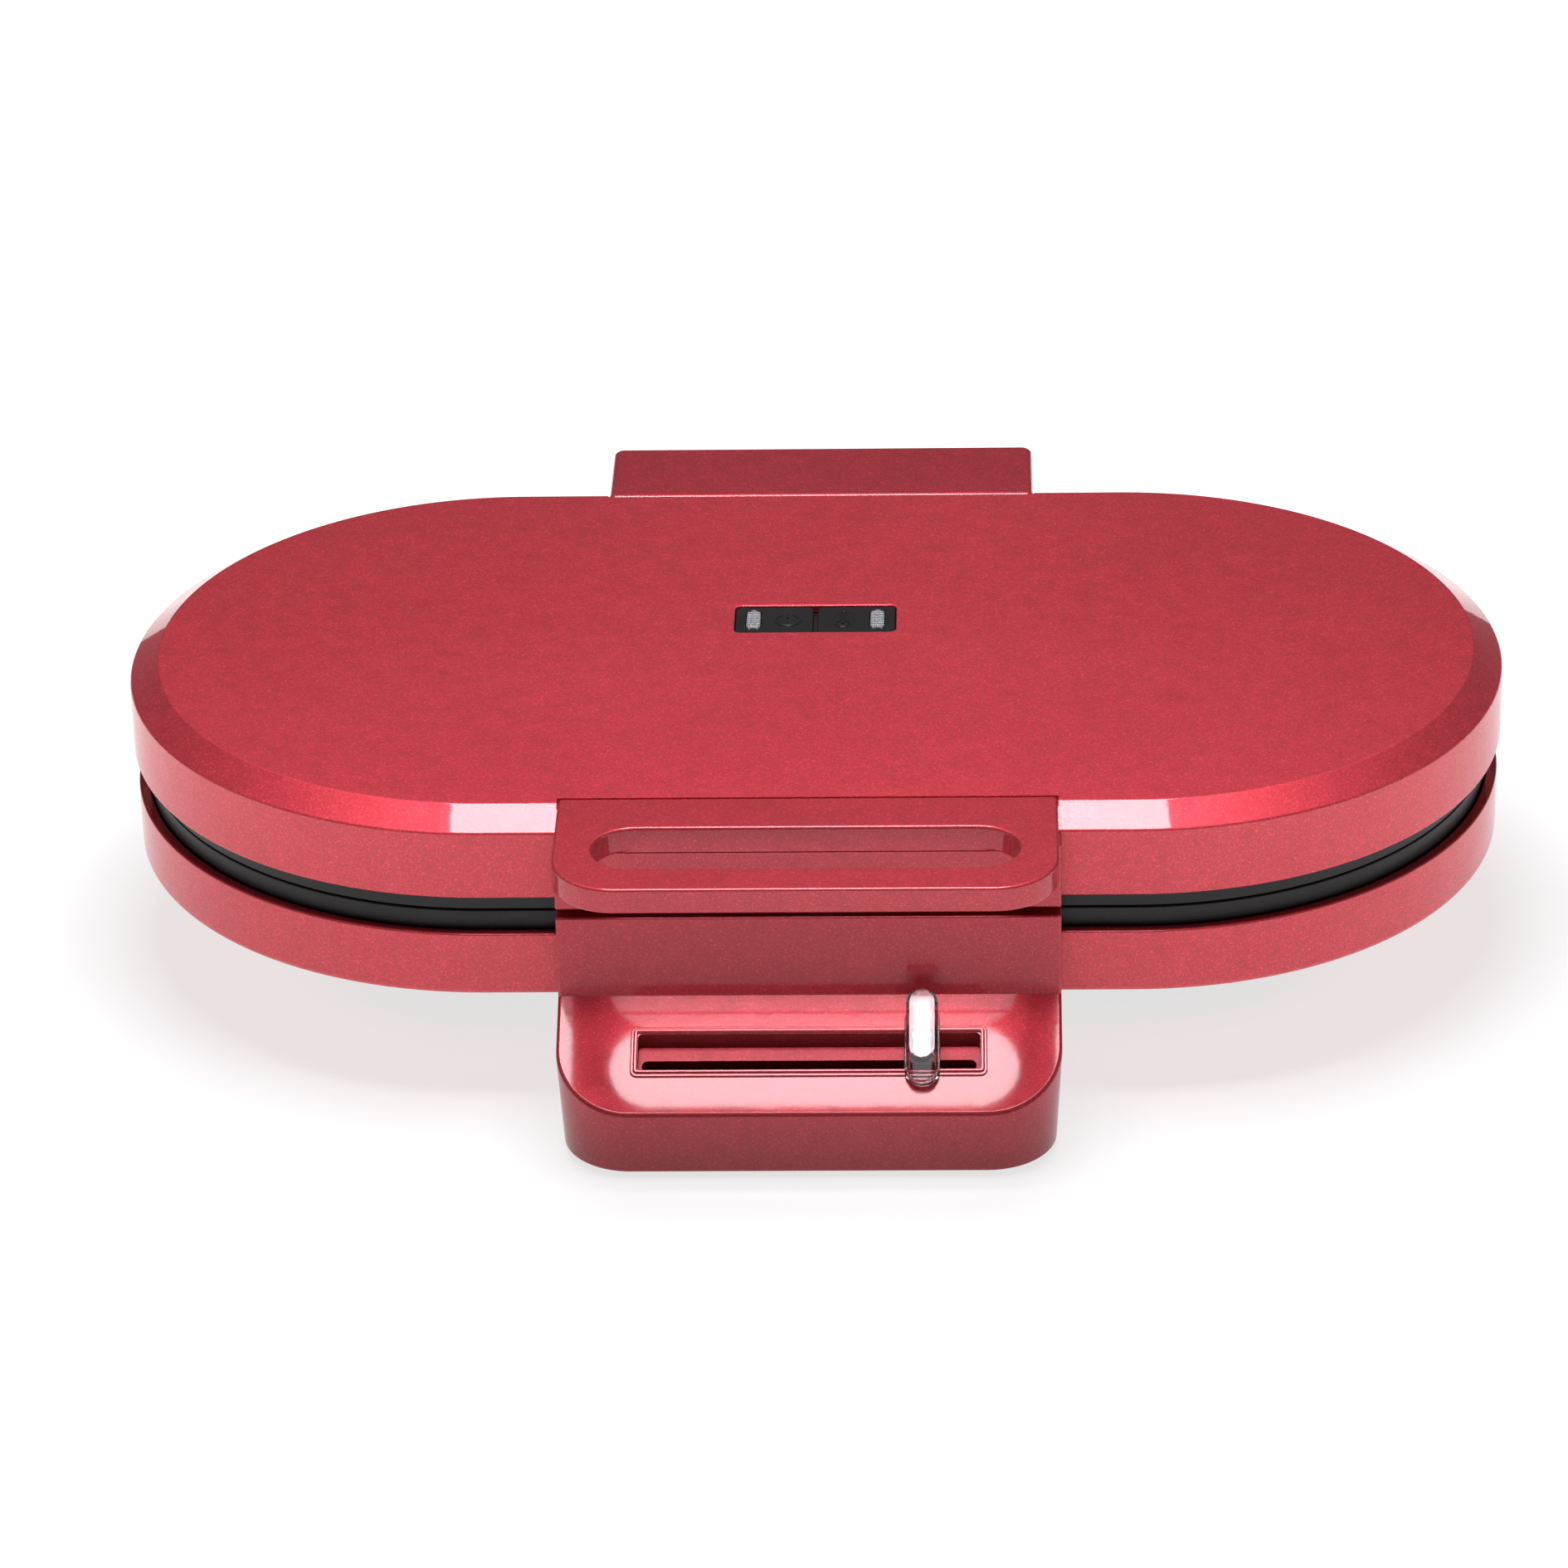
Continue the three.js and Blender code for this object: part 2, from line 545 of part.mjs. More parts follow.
function indicatorPanel() {
  const faceZ = LID_TOP_Z - PANEL_SINK;
  const half = PANEL_LENGTH / 2;
  const face = prism(
    plate([-half, half], [PANEL_Y - PANEL_DEPTH / 2, PANEL_Y + PANEL_DEPTH / 2],
      PANEL_CORNER, PANEL_CORNER),
    [ROOF_Z - 1.5, faceZ], 3);
  const flange = symmetricBox(
    PANEL_LENGTH + 4,
    [PANEL_Y - PANEL_DEPTH / 2 - 2, PANEL_Y + PANEL_DEPTH / 2 + 2],
    [ROOF_Z - GAP - 1.2, ROOF_Z - GAP]);
  const groove = symmetricBox(0.6, [PANEL_Y - PANEL_DEPTH, PANEL_Y + PANEL_DEPTH],
    [faceZ - 0.4, faceZ + PAST]);
  const lensHoles = [-LENS_X, LENS_X].map((x) =>
    prism(stadiumY(LENS_WIDTH + 2 * GAP, LENS_LENGTH + 2 * GAP, x, PANEL_Y),
      [ROOF_Z - PAST, LID_TOP_Z + PAST], 4));
  const posts = [-1, 1].map((side) =>
    column(SCREW_RADIUS, [BOARD_TOP_Z + GAP, ROOF_Z - 1], side * BOARD_POST_X, PANEL_Y, 10));
  return part('indicator_panel', cut(joined(face, flange, ...posts), groove, ...lensHoles),
    blackPlastic());
}

function lens(name, x) {
  const shape = stadiumY(LENS_WIDTH, LENS_LENGTH, x, PANEL_Y);
  return part(name, prism(shape, [ROOF_Z - 1.5, LID_TOP_Z - PANEL_SINK + 0.3], 4), clearPlastic());
}

function lamp(name, x) {
  const half = LENS_LENGTH / 2 - 1;
  const z = BOARD_TOP_Z + GAP + LAMP_RADIUS;
  return part(name, barY(LAMP_RADIUS, [PANEL_Y - half, PANEL_Y + half], x, z, 10), lampGlass());
}

function lampBoard() {
  const ySpan = [PANEL_Y - PANEL_DEPTH / 2, PANEL_Y + PANEL_DEPTH / 2];
  const board = symmetricBox(PANEL_LENGTH, ySpan, [BOARD_BOTTOM_Z, BOARD_TOP_Z]);
  return part('lamp_board', board, circuitBoard());
}

// ---- Plates, heaters and reflectors -------------------------------------------------------
// Each is drawn face up, with the plate's face at z = 0. The lid's set is turned over.

const bossX = () => (MOULD_XS.length > 2 ? MOULD_PITCH : 0.5 * STRAIGHT);

// Every place where a mould stands.
function eachMould(make) {
  return MOULD_XS.flatMap((x) => [-MOULD_Y, MOULD_Y].map((y) => make(x, y)));
}

function mouldCavity(x, y) {
  const [inner, outer] = [POST_RADIUS, MOULD_RADIUS];
  return ring([
    [inner - 0.4, 1],
    [outer + 0.4, 1],
    [outer - 5, -MOULD_DEPTH],
    [inner + 5, -MOULD_DEPTH],
  ], x, y);
}

function mouldCup(x, y) {
  const [inner, outer] = [POST_RADIUS - MOULD_WALL, MOULD_RADIUS + MOULD_WALL];
  const bottom = -MOULD_DEPTH - MOULD_WALL;
  return ring([
    [inner, -PLATE_EDGE / 2],
    [outer, -PLATE_EDGE / 2],
    [outer - 5, bottom],
    [inner + 5, bottom],
  ], x, y);
}

function bakingPlate(name, boreSigns) {
  const outside = prism(stadium(STRAIGHT, PLATE_RADIUS), [-PLATE_SKIRT, 0], BODY_SEGMENTS);
  const hollow = prism(
    stadium(STRAIGHT, PLATE_RADIUS - PLATE_EDGE),
    [-PLATE_SKIRT - PAST, -PLATE_EDGE], BODY_SEGMENTS);
  const bossBottom = -REFLECTOR_DROP + GAP;
  const bosses = boreSigns.map((side) =>
    column(PLATE_BOSS_RADIUS, [bossBottom, -PLATE_EDGE / 2], side * bossX(), 0, 12));
  const bores = boreSigns.map((side) =>
    column(SCREW_HOLE, [bossBottom - PAST, bossBottom + 8], side * bossX(), 0, 12));
  const shell = joined(cut(outside, hollow), ...eachMould(mouldCup), ...bosses);
  return part(name, cut(shell, ...eachMould(mouldCavity), ...bores), nonStick());
}

// Tubular element: two straight legs under the rows of moulds, joined by a bend.
function heater(name) {
  const reach = LENGTH / 2 - MOULD_Y - REFLECTOR_INSET - 3 * HEATER_RADIUS - 1;
  const path = new THREE.CurvePath();
  const at = (x, y) => new THREE.Vector3(x, y, HEATER_Z);
  const bendX = reach - 2 * HEATER_RADIUS;
  const bendSteps = 12;
  const bend = Array.from({ length: bendSteps + 1 }, (_, i) => {
    const angle = -Math.PI / 2 + (Math.PI * i) / bendSteps;
    return at(bendX + MOULD_Y * Math.cos(angle), MOULD_Y * Math.sin(angle));
  });
  const points = [at(-reach, -MOULD_Y), ...bend, at(-reach, MOULD_Y)];
  for (let i = 1; i < points.length; i += 1) {
    path.add(new THREE.LineCurve3(points[i - 1], points[i]));
  }
  const section = new THREE.Shape().absarc(0, 0, HEATER_RADIUS, 0, 2 * Math.PI);
  const options = { steps: 28, extrudePath: path, curveSegments: 4, bevelEnabled: false };
  return part(name, solid(new THREE.ExtrudeGeometry(section, options)), steel());
}

function reflector(name) {
  const zSpan = [-REFLECTOR_DROP - REFLECTOR_THICKNESS, -REFLECTOR_DROP];
  const sheet = prism(stadium(STRAIGHT, RADIUS - REFLECTOR_INSET), zSpan, BODY_SEGMENTS);
  const holes = [-1, 1].map((side) =>
    column(SCREW_HOLE, [zSpan[0] - PAST, zSpan[1] + PAST], side * bossX(), 0, 12));
  return part(name, cut(sheet, ...holes), steel());
}

function plateScrew(name, side) {
  const z = -REFLECTOR_DROP - REFLECTOR_THICKNESS - GAP;
  return part(name, screwZ(side * bossX(), 0, z, 1, 6), steel());
}

function heatingSet(prefix, z, turned) {
  const group = new THREE.Group();
  group.add(
    bakingPlate(`${prefix}_plate`, [-1, 1]),
    heater(`${prefix}_heater`),
    reflector(`${prefix}_reflector`),
    plateScrew(`${prefix}_plate_screw_left`, -1),
    plateScrew(`${prefix}_plate_screw_right`, 1),
  );
  group.position.z = z;
  group.rotation.x = turned ? Math.PI : 0;
  return group;
}

// ---- Base ---------------------------------------------------------------------------------

// The outside of the base, grown by a gap.
function baseEnvelope(gap) {
  return bodyLoft([
    [PAN_INSET - gap, PAN_FLOOR_Z - gap],
    [BASE_INSET - gap, STAND_HEIGHT - gap],
    [BASE_INSET - gap, RIM_Z + (gap > 0 ? gap + PAST : 0)],
  ]);
}

function baseShell() {
  const skirtBottom = LOWER_LEDGE_Z + LEDGE_HEIGHT;
  const inside = bodyLoft([
    [PAN_INSET + 1.5, PAN_FLOOR_Z + PAN_FLOOR],
    [SHELL_WALL, STAND_HEIGHT + 1.1],
    [SHELL_WALL, LOWER_LEDGE_Z],
    [SHELL_WALL + LEDGE_WIDTH, LOWER_LEDGE_Z],
    [SHELL_WALL + LEDGE_WIDTH, skirtBottom],
    [SHELL_WALL, skirtBottom],
    [SHELL_WALL, RIM_Z + PAST],
  ]);
  const opening = prism(
    stadium(STRAIGHT, RADIUS - OPENING_INSET),
    [PAN_FLOOR_Z - PAST, PAN_FLOOR_Z + PAST], BODY_SEGMENTS);
  const screwHoles = eachCoverScrew((x, y) =>
    column(SCREW_HOLE, [PAN_FLOOR_Z - PAST, PAN_FLOOR_Z + PAST], x, y, 12));
  const consoleHoles = [-CONSOLE_SCREW_X, CONSOLE_SCREW_X].map((x) =>
    barY(SCREW_HOLE, [-RADIUS - PAST, -RADIUS + 2 * PAST], x, CONSOLE_SCREW_Z, 12));
  const glandHole = barY(
    GLAND_BORE + GLAND_WALL + GAP, [RADIUS - 2 * PAST, RADIUS + PAST], GLAND_X, GLAND_Z);
  return part('base_shell',
    cut(baseEnvelope(0), inside, opening, glandHole, ...screwHoles, ...consoleHoles), pearlRed());
}

// Block and console in one moulding: deck, frame, recess and slit.
function frontConsole() {
  const outline = (inset) => {
    const half = BLOCK_WIDTH / 2 - inset;
    return plate([-half, half], [CONSOLE_FRONT_Y + inset, CONSOLE_BACK_Y], CONSOLE_CORNER - inset, 1);
  };
  const body = loft([
    [outline(CONSOLE_DRAFT), CONSOLE_FLOOR_Z],
    [outline(0), DECK_FRONT_Z - 1.2],
    [outline(0), BLOCK_TOP_Z],
  ], 4);
  const behindWall = symmetricBox(2 * BLOCK_WIDTH,
    [-RADIUS + BASE_INSET - GAP, 0], [STAND_HEIGHT, BLOCK_TOP_Z + PAST]);
  const hollow = cut(
    loft([
      [outline(CONSOLE_DRAFT + CONSOLE_WALL), CONSOLE_FLOOR_Z - PAST],
      [outline(CONSOLE_DRAFT + CONSOLE_WALL), DECK_BACK_Z],
    ], 4),
    aboveDeck(-CONSOLE_WALL, CONSOLE_BACK_Y + 2 * PAST),
    baseEnvelope(GAP + CONSOLE_WALL),
    symmetricBox(2 * BLOCK_WIDTH, [CONSOLE_BACK_Y - CONSOLE_WALL, 0], [-PAST, BLOCK_TOP_Z]));
  const rectangle = (grow) => {
    const half = RECESS_LENGTH / 2 + grow;
    const halfDepth = RECESS_DEPTH / 2 + grow;
    return plate([-half, half], [RECESS_Y - halfDepth, RECESS_Y + halfDepth], 1, 1);
  };
  const frame = deckPrism(rectangle(RECESS_FRAME), [-1, RECESS_FRAME_RISE], 2);
  const tub = deckPrism(rectangle(CONSOLE_WALL), [-RECESS_SINK - CONSOLE_WALL, -0.5], 2);
  const recess = deckPrism(rectangle(0), [-RECESS_SINK, PAST], 2);
  const slit = deckPrism(
    stadium(SLIT_HALF_LENGTH - SLIT_WIDTH / 2, SLIT_WIDTH / 2, 0, RECESS_Y),
    [-RECESS_SINK - CONSOLE_WALL - PAST, PAST], 3);
  const bores = [-CONSOLE_SCREW_X, CONSOLE_SCREW_X].map((x) =>
    barY(SCREW_HOLE, [BLOCK_FRONT_Y + 2, -RADIUS + PAST], x, CONSOLE_SCREW_Z, 12));
  const shell = cut(body, behindWall, baseEnvelope(GAP), aboveDeck(0, BLOCK_FRONT_Y), hollow);
  return part('front_console', cut(joined(shell, frame, tub), recess, slit, ...bores), pearlRed());
}

function consoleFloor() {
  const half = BLOCK_WIDTH / 2 - FLOOR_INSET;
  const ySpan = [CONSOLE_FRONT_Y + FLOOR_INSET, CONSOLE_BACK_Y - CONSOLE_WALL - GAP];
  const shape = plate([-half, half], ySpan, CONSOLE_CORNER - FLOOR_INSET, 1);
  const sheet = prism(shape, [FLOOR_BOTTOM_Z, FLOOR_TOP_Z], 4);
  return part('console_floor', sheet, blackPlastic());
}

function consoleScrew(name, x) {
  const body = screwY(x, -RADIUS + SHELL_WALL + GAP, CONSOLE_SCREW_Z, SHELL_WALL + 3);
  return part(name, body, steel());
}

// Slide regulator: a body on two feet, with a groove in which the slider's stem runs.
function slideRegulator() {
  const half = SLIT_HALF_LENGTH + 2;
  const footRadius = 3;
  const ySpan = [RECESS_Y - REGULATOR_DEPTH / 2, RECESS_Y + REGULATOR_DEPTH / 2];
  const bottom = REGULATOR_TOP_Z - REGULATOR_HEIGHT;
  const body = symmetricBox(2 * half, ySpan, [bottom, REGULATOR_TOP_Z]);
  const groove = symmetricBox(2 * SLIT_HALF_LENGTH,
    [RECESS_Y - SLIT_WIDTH / 2, RECESS_Y + SLIT_WIDTH / 2],
    [REGULATOR_TOP_Z - 6, REGULATOR_TOP_Z + PAST]);
  const feet = [-1, 1].map((side) =>
    column(footRadius, [FLOOR_TOP_Z + GAP, bottom + 1], side * (half - footRadius - 1), RECESS_Y, 10));
  return part('slide_regulator', cut(joined(body, ...feet), groove), blackPlastic());
}

function hingeBracket() {
  const half = BRACKET_HALF;
  const front = RADIUS - BASE_INSET + GAP;
  const bar = symmetricBox(2 * half,
    [front, RADIUS + BRACKET_BAR_DEPTH], [HINGE_Z - 1 - BRACKET_BAR_HEIGHT, HINGE_Z - 1]);
  const lugs = [-1, 1].flatMap((side) => {
    const xs = [half - BRACKET_LUG_WIDTH, half].map((x) => side * x).sort((a, b) => a - b);
    const arm = box(xs, [front, HINGE_Y], [HINGE_Z - HINGE_LUG_RADIUS, HINGE_Z + 2]);
    return [arm, barX(HINGE_LUG_RADIUS, xs, HINGE_Y, HINGE_Z)];
  });
  const bore = barX(HINGE_PIN_RADIUS + PIN_CLEARANCE, [-half - PAST, half + PAST], HINGE_Y, HINGE_Z);
  return part('hinge_bracket', cut(joined(bar, ...lugs), bore), blackPlastic());
}

// Pin through a lug of the bracket and the lid's arm beside it, with a head at the inner end.
function hingePin(name, side) {
  const inner = BRACKET_HALF - BRACKET_LUG_WIDTH - GAP;
  const span = (a, b) => [side * a, side * b].sort((p, q) => p - q);
  const shank = barX(HINGE_PIN_RADIUS, span(inner - 1, HINGE_ARM_X + HINGE_ARM_WIDTH + 1), HINGE_Y, HINGE_Z);
  const head = barX(HINGE_PIN_RADIUS + 1.5, span(inner - 2, inner), HINGE_Y, HINGE_Z);
  return part(name, shank.add(head), steel());
}

function eachCoverScrew(make) {
  return [-1, 1].flatMap((sx) => [-1, 1].map((sy) => make(sx * COVER_SCREW_X, sy * COVER_SCREW_Y)));
}

function bottomCover() {
  const sheet = prism(
    stadium(STRAIGHT, RADIUS - COVER_INSET), [COVER_BOTTOM_Z, COVER_TOP_Z], BODY_SEGMENTS);
  const holes = eachCoverScrew((x, y) =>
    column(SCREW_HOLE, [COVER_BOTTOM_Z - PAST, COVER_TOP_Z + PAST], x, y, 12));
  const vents = Array.from({ length: VENT_COUNT }, (_, i) =>
    prism(
      stadiumY(VENT_WIDTH, VENT_LENGTH, (i - (VENT_COUNT - 1) / 2) * VENT_PITCH, 0),
      [COVER_BOTTOM_Z - PAST, COVER_TOP_Z + PAST], 2));
  return part('bottom_cover', cut(sheet, ...holes, ...vents), blackPlastic());
}

function coverScrew(name, x, y) {
  return part(name, screwZ(x, y, COVER_BOTTOM_Z - GAP, 1, 6), steel());
}

function leg(name, x, y) {
  const body = column(LEG_RADIUS - 1.5, [PAD_HEIGHT - 0.5, COVER_BOTTOM_Z - GAP], x, y, 20, LEG_RADIUS);
  const seat = column(PAD_RADIUS + GAP, [-PAST, PAD_HEIGHT + GAP], x, y, 20);
  return part(name, cut(body, seat), blackPlastic());
}

function pad(name, x, y) {
  return part(name, column(PAD_RADIUS, [0, PAD_HEIGHT], x, y, 20), rubber());
}

function thermostat() {
  const top = HEAT_SHIELD_Z - GAP;
  const can = column(THERMOSTAT_RADIUS, [top - THERMOSTAT_HEIGHT, top], 0, 0, 16);
  const terminals = [-1, 1].map((side) =>
    box([side * TERMINAL_WIDTH - TERMINAL_WIDTH / 2, side * TERMINAL_WIDTH + TERMINAL_WIDTH / 2],
      [-0.5, 0.5], [top - THERMOSTAT_HEIGHT - TERMINAL_WIDTH, top - THERMOSTAT_HEIGHT + 1]));
  return part('thermostat', joined(can, ...terminals), ceramic());
}

function thermalFuse() {
  const xSpan = [FUSE_X - FUSE_LENGTH / 2, FUSE_X + FUSE_LENGTH / 2];
  return part('thermal_fuse',
    barX(FUSE_RADIUS, xSpan, FUSE_Y, HEAT_SHIELD_Z - GAP - FUSE_RADIUS, 10), steel());
}

function terminalBlock() {
  const bottom = COVER_TOP_Z + GAP;
  const slab = (shrink, zSpan) => box(
    [BLOCK_X - BLOCK_LENGTH / 2 + shrink, BLOCK_X + BLOCK_LENGTH / 2 - shrink],
    [BLOCK_Y - BLOCK_DEPTH / 2 + 2 * shrink, BLOCK_Y + BLOCK_DEPTH / 2 - 2 * shrink], zSpan);
  const base = slab(0, [bottom, bottom + 0.65 * BLOCK_HEIGHT]);
  const ridge = slab(2, [bottom + 0.5 * BLOCK_HEIGHT, bottom + BLOCK_HEIGHT]);
  return part('terminal_block', joined(base, ridge), ceramic());
}

// Bush in the back wall that the mains lead would come out of.
function cordGland() {
  const wallBack = RADIUS - BASE_INSET;
  const sleeveSpan = [wallBack - SHELL_WALL - GLAND_WALL, wallBack + 1];
  const sleeve = barY(GLAND_BORE + GLAND_WALL, sleeveSpan, GLAND_X, GLAND_Z);
  const flangeSpan = [wallBack + GAP, wallBack + GAP + 1.1 * GLAND_WALL];
  const flange = barY(GLAND_BORE + GLAND_FLANGE, flangeSpan, GLAND_X, GLAND_Z);
  const bore = barY(GLAND_BORE, [wallBack - 4 * PAST, wallBack + PAST], GLAND_X, GLAND_Z);
  return part('cord_gland', cut(joined(sleeve, flange), bore), rubber());
}

// ---- Slider -------------------------------------------------------------------------------

function sliderKnob() {
  const grip = deckPrism(stadiumY(KNOB_WIDTH, KNOB_DEPTH, KNOB_X, RECESS_Y), [FLANGE_LIFT, KNOB_RISE]);
  const flange = deckPrism(stadiumY(FLANGE_WIDTH, FLANGE_DEPTH, KNOB_X, RECESS_Y),
    [FLANGE_LIFT, FLANGE_LIFT + FLANGE_THICKNESS]);
  const half = STEM_WIDTH / 2 + GAP;
  const halfDepth = STEM_THICKNESS / 2 + GAP;
  const socket = deckPrism(
    plate([KNOB_X - half, KNOB_X + half], [RECESS_Y - halfDepth, RECESS_Y + halfDepth], 0.2, 0.2),
    [-PAST, STEM_TOP + GAP], 1);
  return part('slider_knob', cut(joined(grip, flange), socket), clearPlastic());
}

function sliderStem() {
  const ySpan = [RECESS_Y - STEM_THICKNESS / 2, RECESS_Y + STEM_THICKNESS / 2];
  const xSpan = [KNOB_X - STEM_WIDTH / 2, KNOB_X + STEM_WIDTH / 2];
  const topZ = deckZ(ySpan[0]) + STEM_TOP;
  return part('slider_stem', box(xSpan, ySpan, [REGULATOR_TOP_Z - 5, topZ]), steel());
}

// ---- The whole object ---------------------------------------------------------------------

function lid() {
  const group = new THREE.Group();
  group.add(lidShell(), lidHandle(), hingeCover(), indicatorPanel(), lampBoard());
  group.add(lens('power_lens', -LENS_X), lens('ready_lens', LENS_X));
  group.add(lamp('power_lamp', -LENS_X), lamp('ready_lamp', LENS_X));
  group.add(hingeArm('hinge_arm_left', -1), hingeArm('hinge_arm_right', 1));
  group.add(handleScrew('handle_screw_left', -HANDLE_SCREW_X));
  group.add(handleScrew('handle_screw_right', HANDLE_SCREW_X));
  group.add(heatingSet('upper', UPPER_FACE_Z, true));
  return group;
}

function base() {
  const group = new THREE.Group();
  group.add(baseShell(), frontConsole(), consoleFloor(), slideRegulator(), bottomCover());
  group.add(consoleScrew('console_screw_left', -CONSOLE_SCREW_X));
  group.add(consoleScrew('console_screw_right', CONSOLE_SCREW_X));
  group.add(hingeBracket(), hingePin('hinge_pin_left', -1), hingePin('hinge_pin_right', 1));
  group.add(thermostat(), thermalFuse(), terminalBlock(), cordGland());
  const corners = eachCoverScrew((x, y) => [x, y]);
  corners.forEach(([x, y], i) => group.add(coverScrew(`cover_screw_${i + 1}`, x, y)));
  for (const [side, sign] of [['left', -1], ['right', 1]]) {
    for (const [end, y] of [['front', LEG_FRONT_Y], ['back', LEG_BACK_Y]]) {
      group.add(leg(`leg_${end}_${side}`, sign * LEG_X, y));
      group.add(pad(`leg_pad_${end}_${side}`, sign * LEG_X, y));
    }
    group.add(pad(`console_pad_${side}`, sign * CONSOLE_PAD_X, CONSOLE_PAD_Y));
  }
  group.add(heatingSet('lower', LOWER_FACE_Z, false));
  return group;
}

function slider() {
  const group = new THREE.Group();
  group.add(sliderKnob(), sliderStem());
  return group;
}

const assembly = new THREE.Group();
assembly.add(lid(), base(), slider());
assembly.position.y = -(HINGE_COVER_BACK_Y + CONSOLE_FRONT_Y) / 2;

const donutMaker = new THREE.Group();
donutMaker.add(assembly);

export default donutMaker;
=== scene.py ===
"""Looks of the donut maker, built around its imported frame. Lengths in helpers are millimetres."""

import math

import bmesh
import bpy
from mathutils import Matrix, Vector
from mathutils.geometry import tessellate_polygon


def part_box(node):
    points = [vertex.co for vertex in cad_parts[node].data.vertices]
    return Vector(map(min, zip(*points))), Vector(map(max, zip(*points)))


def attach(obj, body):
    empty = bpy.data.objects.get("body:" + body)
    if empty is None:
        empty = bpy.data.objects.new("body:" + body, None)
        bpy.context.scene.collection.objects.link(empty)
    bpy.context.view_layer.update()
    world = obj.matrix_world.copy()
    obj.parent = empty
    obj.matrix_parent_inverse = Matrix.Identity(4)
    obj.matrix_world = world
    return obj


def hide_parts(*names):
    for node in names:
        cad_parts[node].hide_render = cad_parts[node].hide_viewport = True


MM = 0.001
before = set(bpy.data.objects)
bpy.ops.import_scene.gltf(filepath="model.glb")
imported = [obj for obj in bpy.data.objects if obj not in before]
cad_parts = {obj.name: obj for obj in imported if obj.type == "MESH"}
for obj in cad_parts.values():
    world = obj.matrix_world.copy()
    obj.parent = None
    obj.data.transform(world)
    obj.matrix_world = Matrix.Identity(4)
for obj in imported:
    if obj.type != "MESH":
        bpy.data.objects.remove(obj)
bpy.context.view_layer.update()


def extent(node):
    """Lowest and highest corner of a CAD node, in millimetres."""
    low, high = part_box(node)
    return low / MM, high / MM


def middle(node):
    low, high = extent(node)
    return (low + high) / 2


# ---- Sizes read off the frame ---------------------------------------------------------------

lid_low, lid_high = extent("lid_shell")
base_low, base_high = extent("base_shell")
_, plate_high = extent("lower_plate")
upper_low, _ = extent("upper_plate")
handle_low, handle_high = extent("lid_handle")
cover_low, cover_high = extent("hinge_cover")
console_low, console_high = extent("front_console")
floor_low, floor_high = extent("console_floor")
panel_low, panel_high = extent("indicator_panel")
regulator_low, regulator_high = extent("slide_regulator")
knob_low, knob_high = extent("slider_knob")

GAP = 0.3  # clearance between neighbouring pieces
APART = 0.03  # keeps faces that are joined from lying in one plane
CENTRE_Y = (lid_low.y + lid_high.y) / 2
RADIUS = (lid_high.y - lid_low.y) / 2
STRAIGHT = lid_high.x - RADIUS
BASE_INSET = lid_high.x - base_high.x
PLATE_INSET = lid_high.x - plate_high.x
CHAMFER = (8.4, 5.3)  # of the lid: inwards, downwards
WALL = 3.8
ROOF = 2.5
STAND_Z = base_high.z - 18.8
PAN_INSET = 40  # the sloping underside ends this far inwards
OPENING_INSET = 54  # of the opening that the bottom cover closes
NOTCH = 1.2  # handle and hinge cover are let into the lid by this much
SLOPE = math.tan(math.radians(24.7))
BLOCK_FRONT = console_low.y + 36.9
DECK_FRONT_Z = 21.2
CONSOLE_CORNER = 21
CONSOLE_DRAFT = 1.5
HANDLE_HALF = 69.5
HANDLE_THICKNESS = 7.6
HANDLE_CORNER = 18
RECESS_Y = (regulator_low.y + regulator_high.y) / 2
RECESS = (95.2, 11.5)
BEAD_WIDTH = 2.0
SLIT_RADIUS = 1.7
RECESS_SINK = 4.5
SLOT = (117.4, 23.5)
SLOT_Y = BLOCK_FRONT - SLOT[1] / 2
MOULD_XS = (-132, -44, 44, 132)
MOULD_DY = 46
POST_RADIUS = 13
MOULD_RADIUS = 40
MOULD_DEPTH = 11
PANEL_Y = middle("indicator_panel").y
PANEL_HALF = (23.5, 8.6)
LENS_X = middle("ready_lens").x
LENS_WIDTH = 4.1
LENS_LENGTH = 12
GLAND_BORE = 3.6
GLAND_SLEEVE = 5.6
SCREW_SHANK = 1.5
KNOB_LIFT = 1.1  # the knob's underside above the deck
KNOB_RISE = 9.1  # and its top


def deck_z(y):
    """Height of the console's sloping deck."""
    return DECK_FRONT_Z + (y - console_low.y) * SLOPE


def on_deck(rise):
    """A level that runs parallel to the deck."""
    return lambda x, y: deck_z(y) + rise


# ---- Outlines --------------------------------------------------------------------------------


def arc(cx, cy, radius, start, end, steps):
    turn = [start + (end - start) * i / steps for i in range(steps + 1)]
    return [(cx + radius * math.cos(math.radians(a)), cy + radius * math.sin(math.radians(a))) for a in turn]


def stadium_x(half_straight, radius, cx=0.0, cy=0.0, steps=24):
    return arc(cx + half_straight, cy, radius, -90, 90, steps) + arc(
        cx - half_straight, cy, radius, 90, 270, steps
    )


def stadium_y(width, length, cx, cy, steps=16):
    half, radius = (length - width) / 2, width / 2
    return arc(cx, cy + half, radius, 0, 180, steps) + arc(cx, cy - half, radius, 180, 360, steps)


def rectangle(x0, x1, y0, y1, front, back, steps=8):
    """A rectangle with its own corner radius at the front and at the back."""
    return (
        arc(x0 + front, y0 + front, front, 180, 270, steps)
        + arc(x1 - front, y0 + front, front, 270, 360, steps)
        + arc(x1 - back, y1 - back, back, 0, 90, steps)
        + arc(x0 + back, y1 - back, back, 90, 180, steps)
    )


def circle(cx, cy, radius, steps=48):
    return arc(cx, cy, radius, 0, 360 * (steps - 1) / steps, steps - 1)


def hole(outline):
    """The same loop the other way round, so that insetting widens it."""
    return outline[::-1]


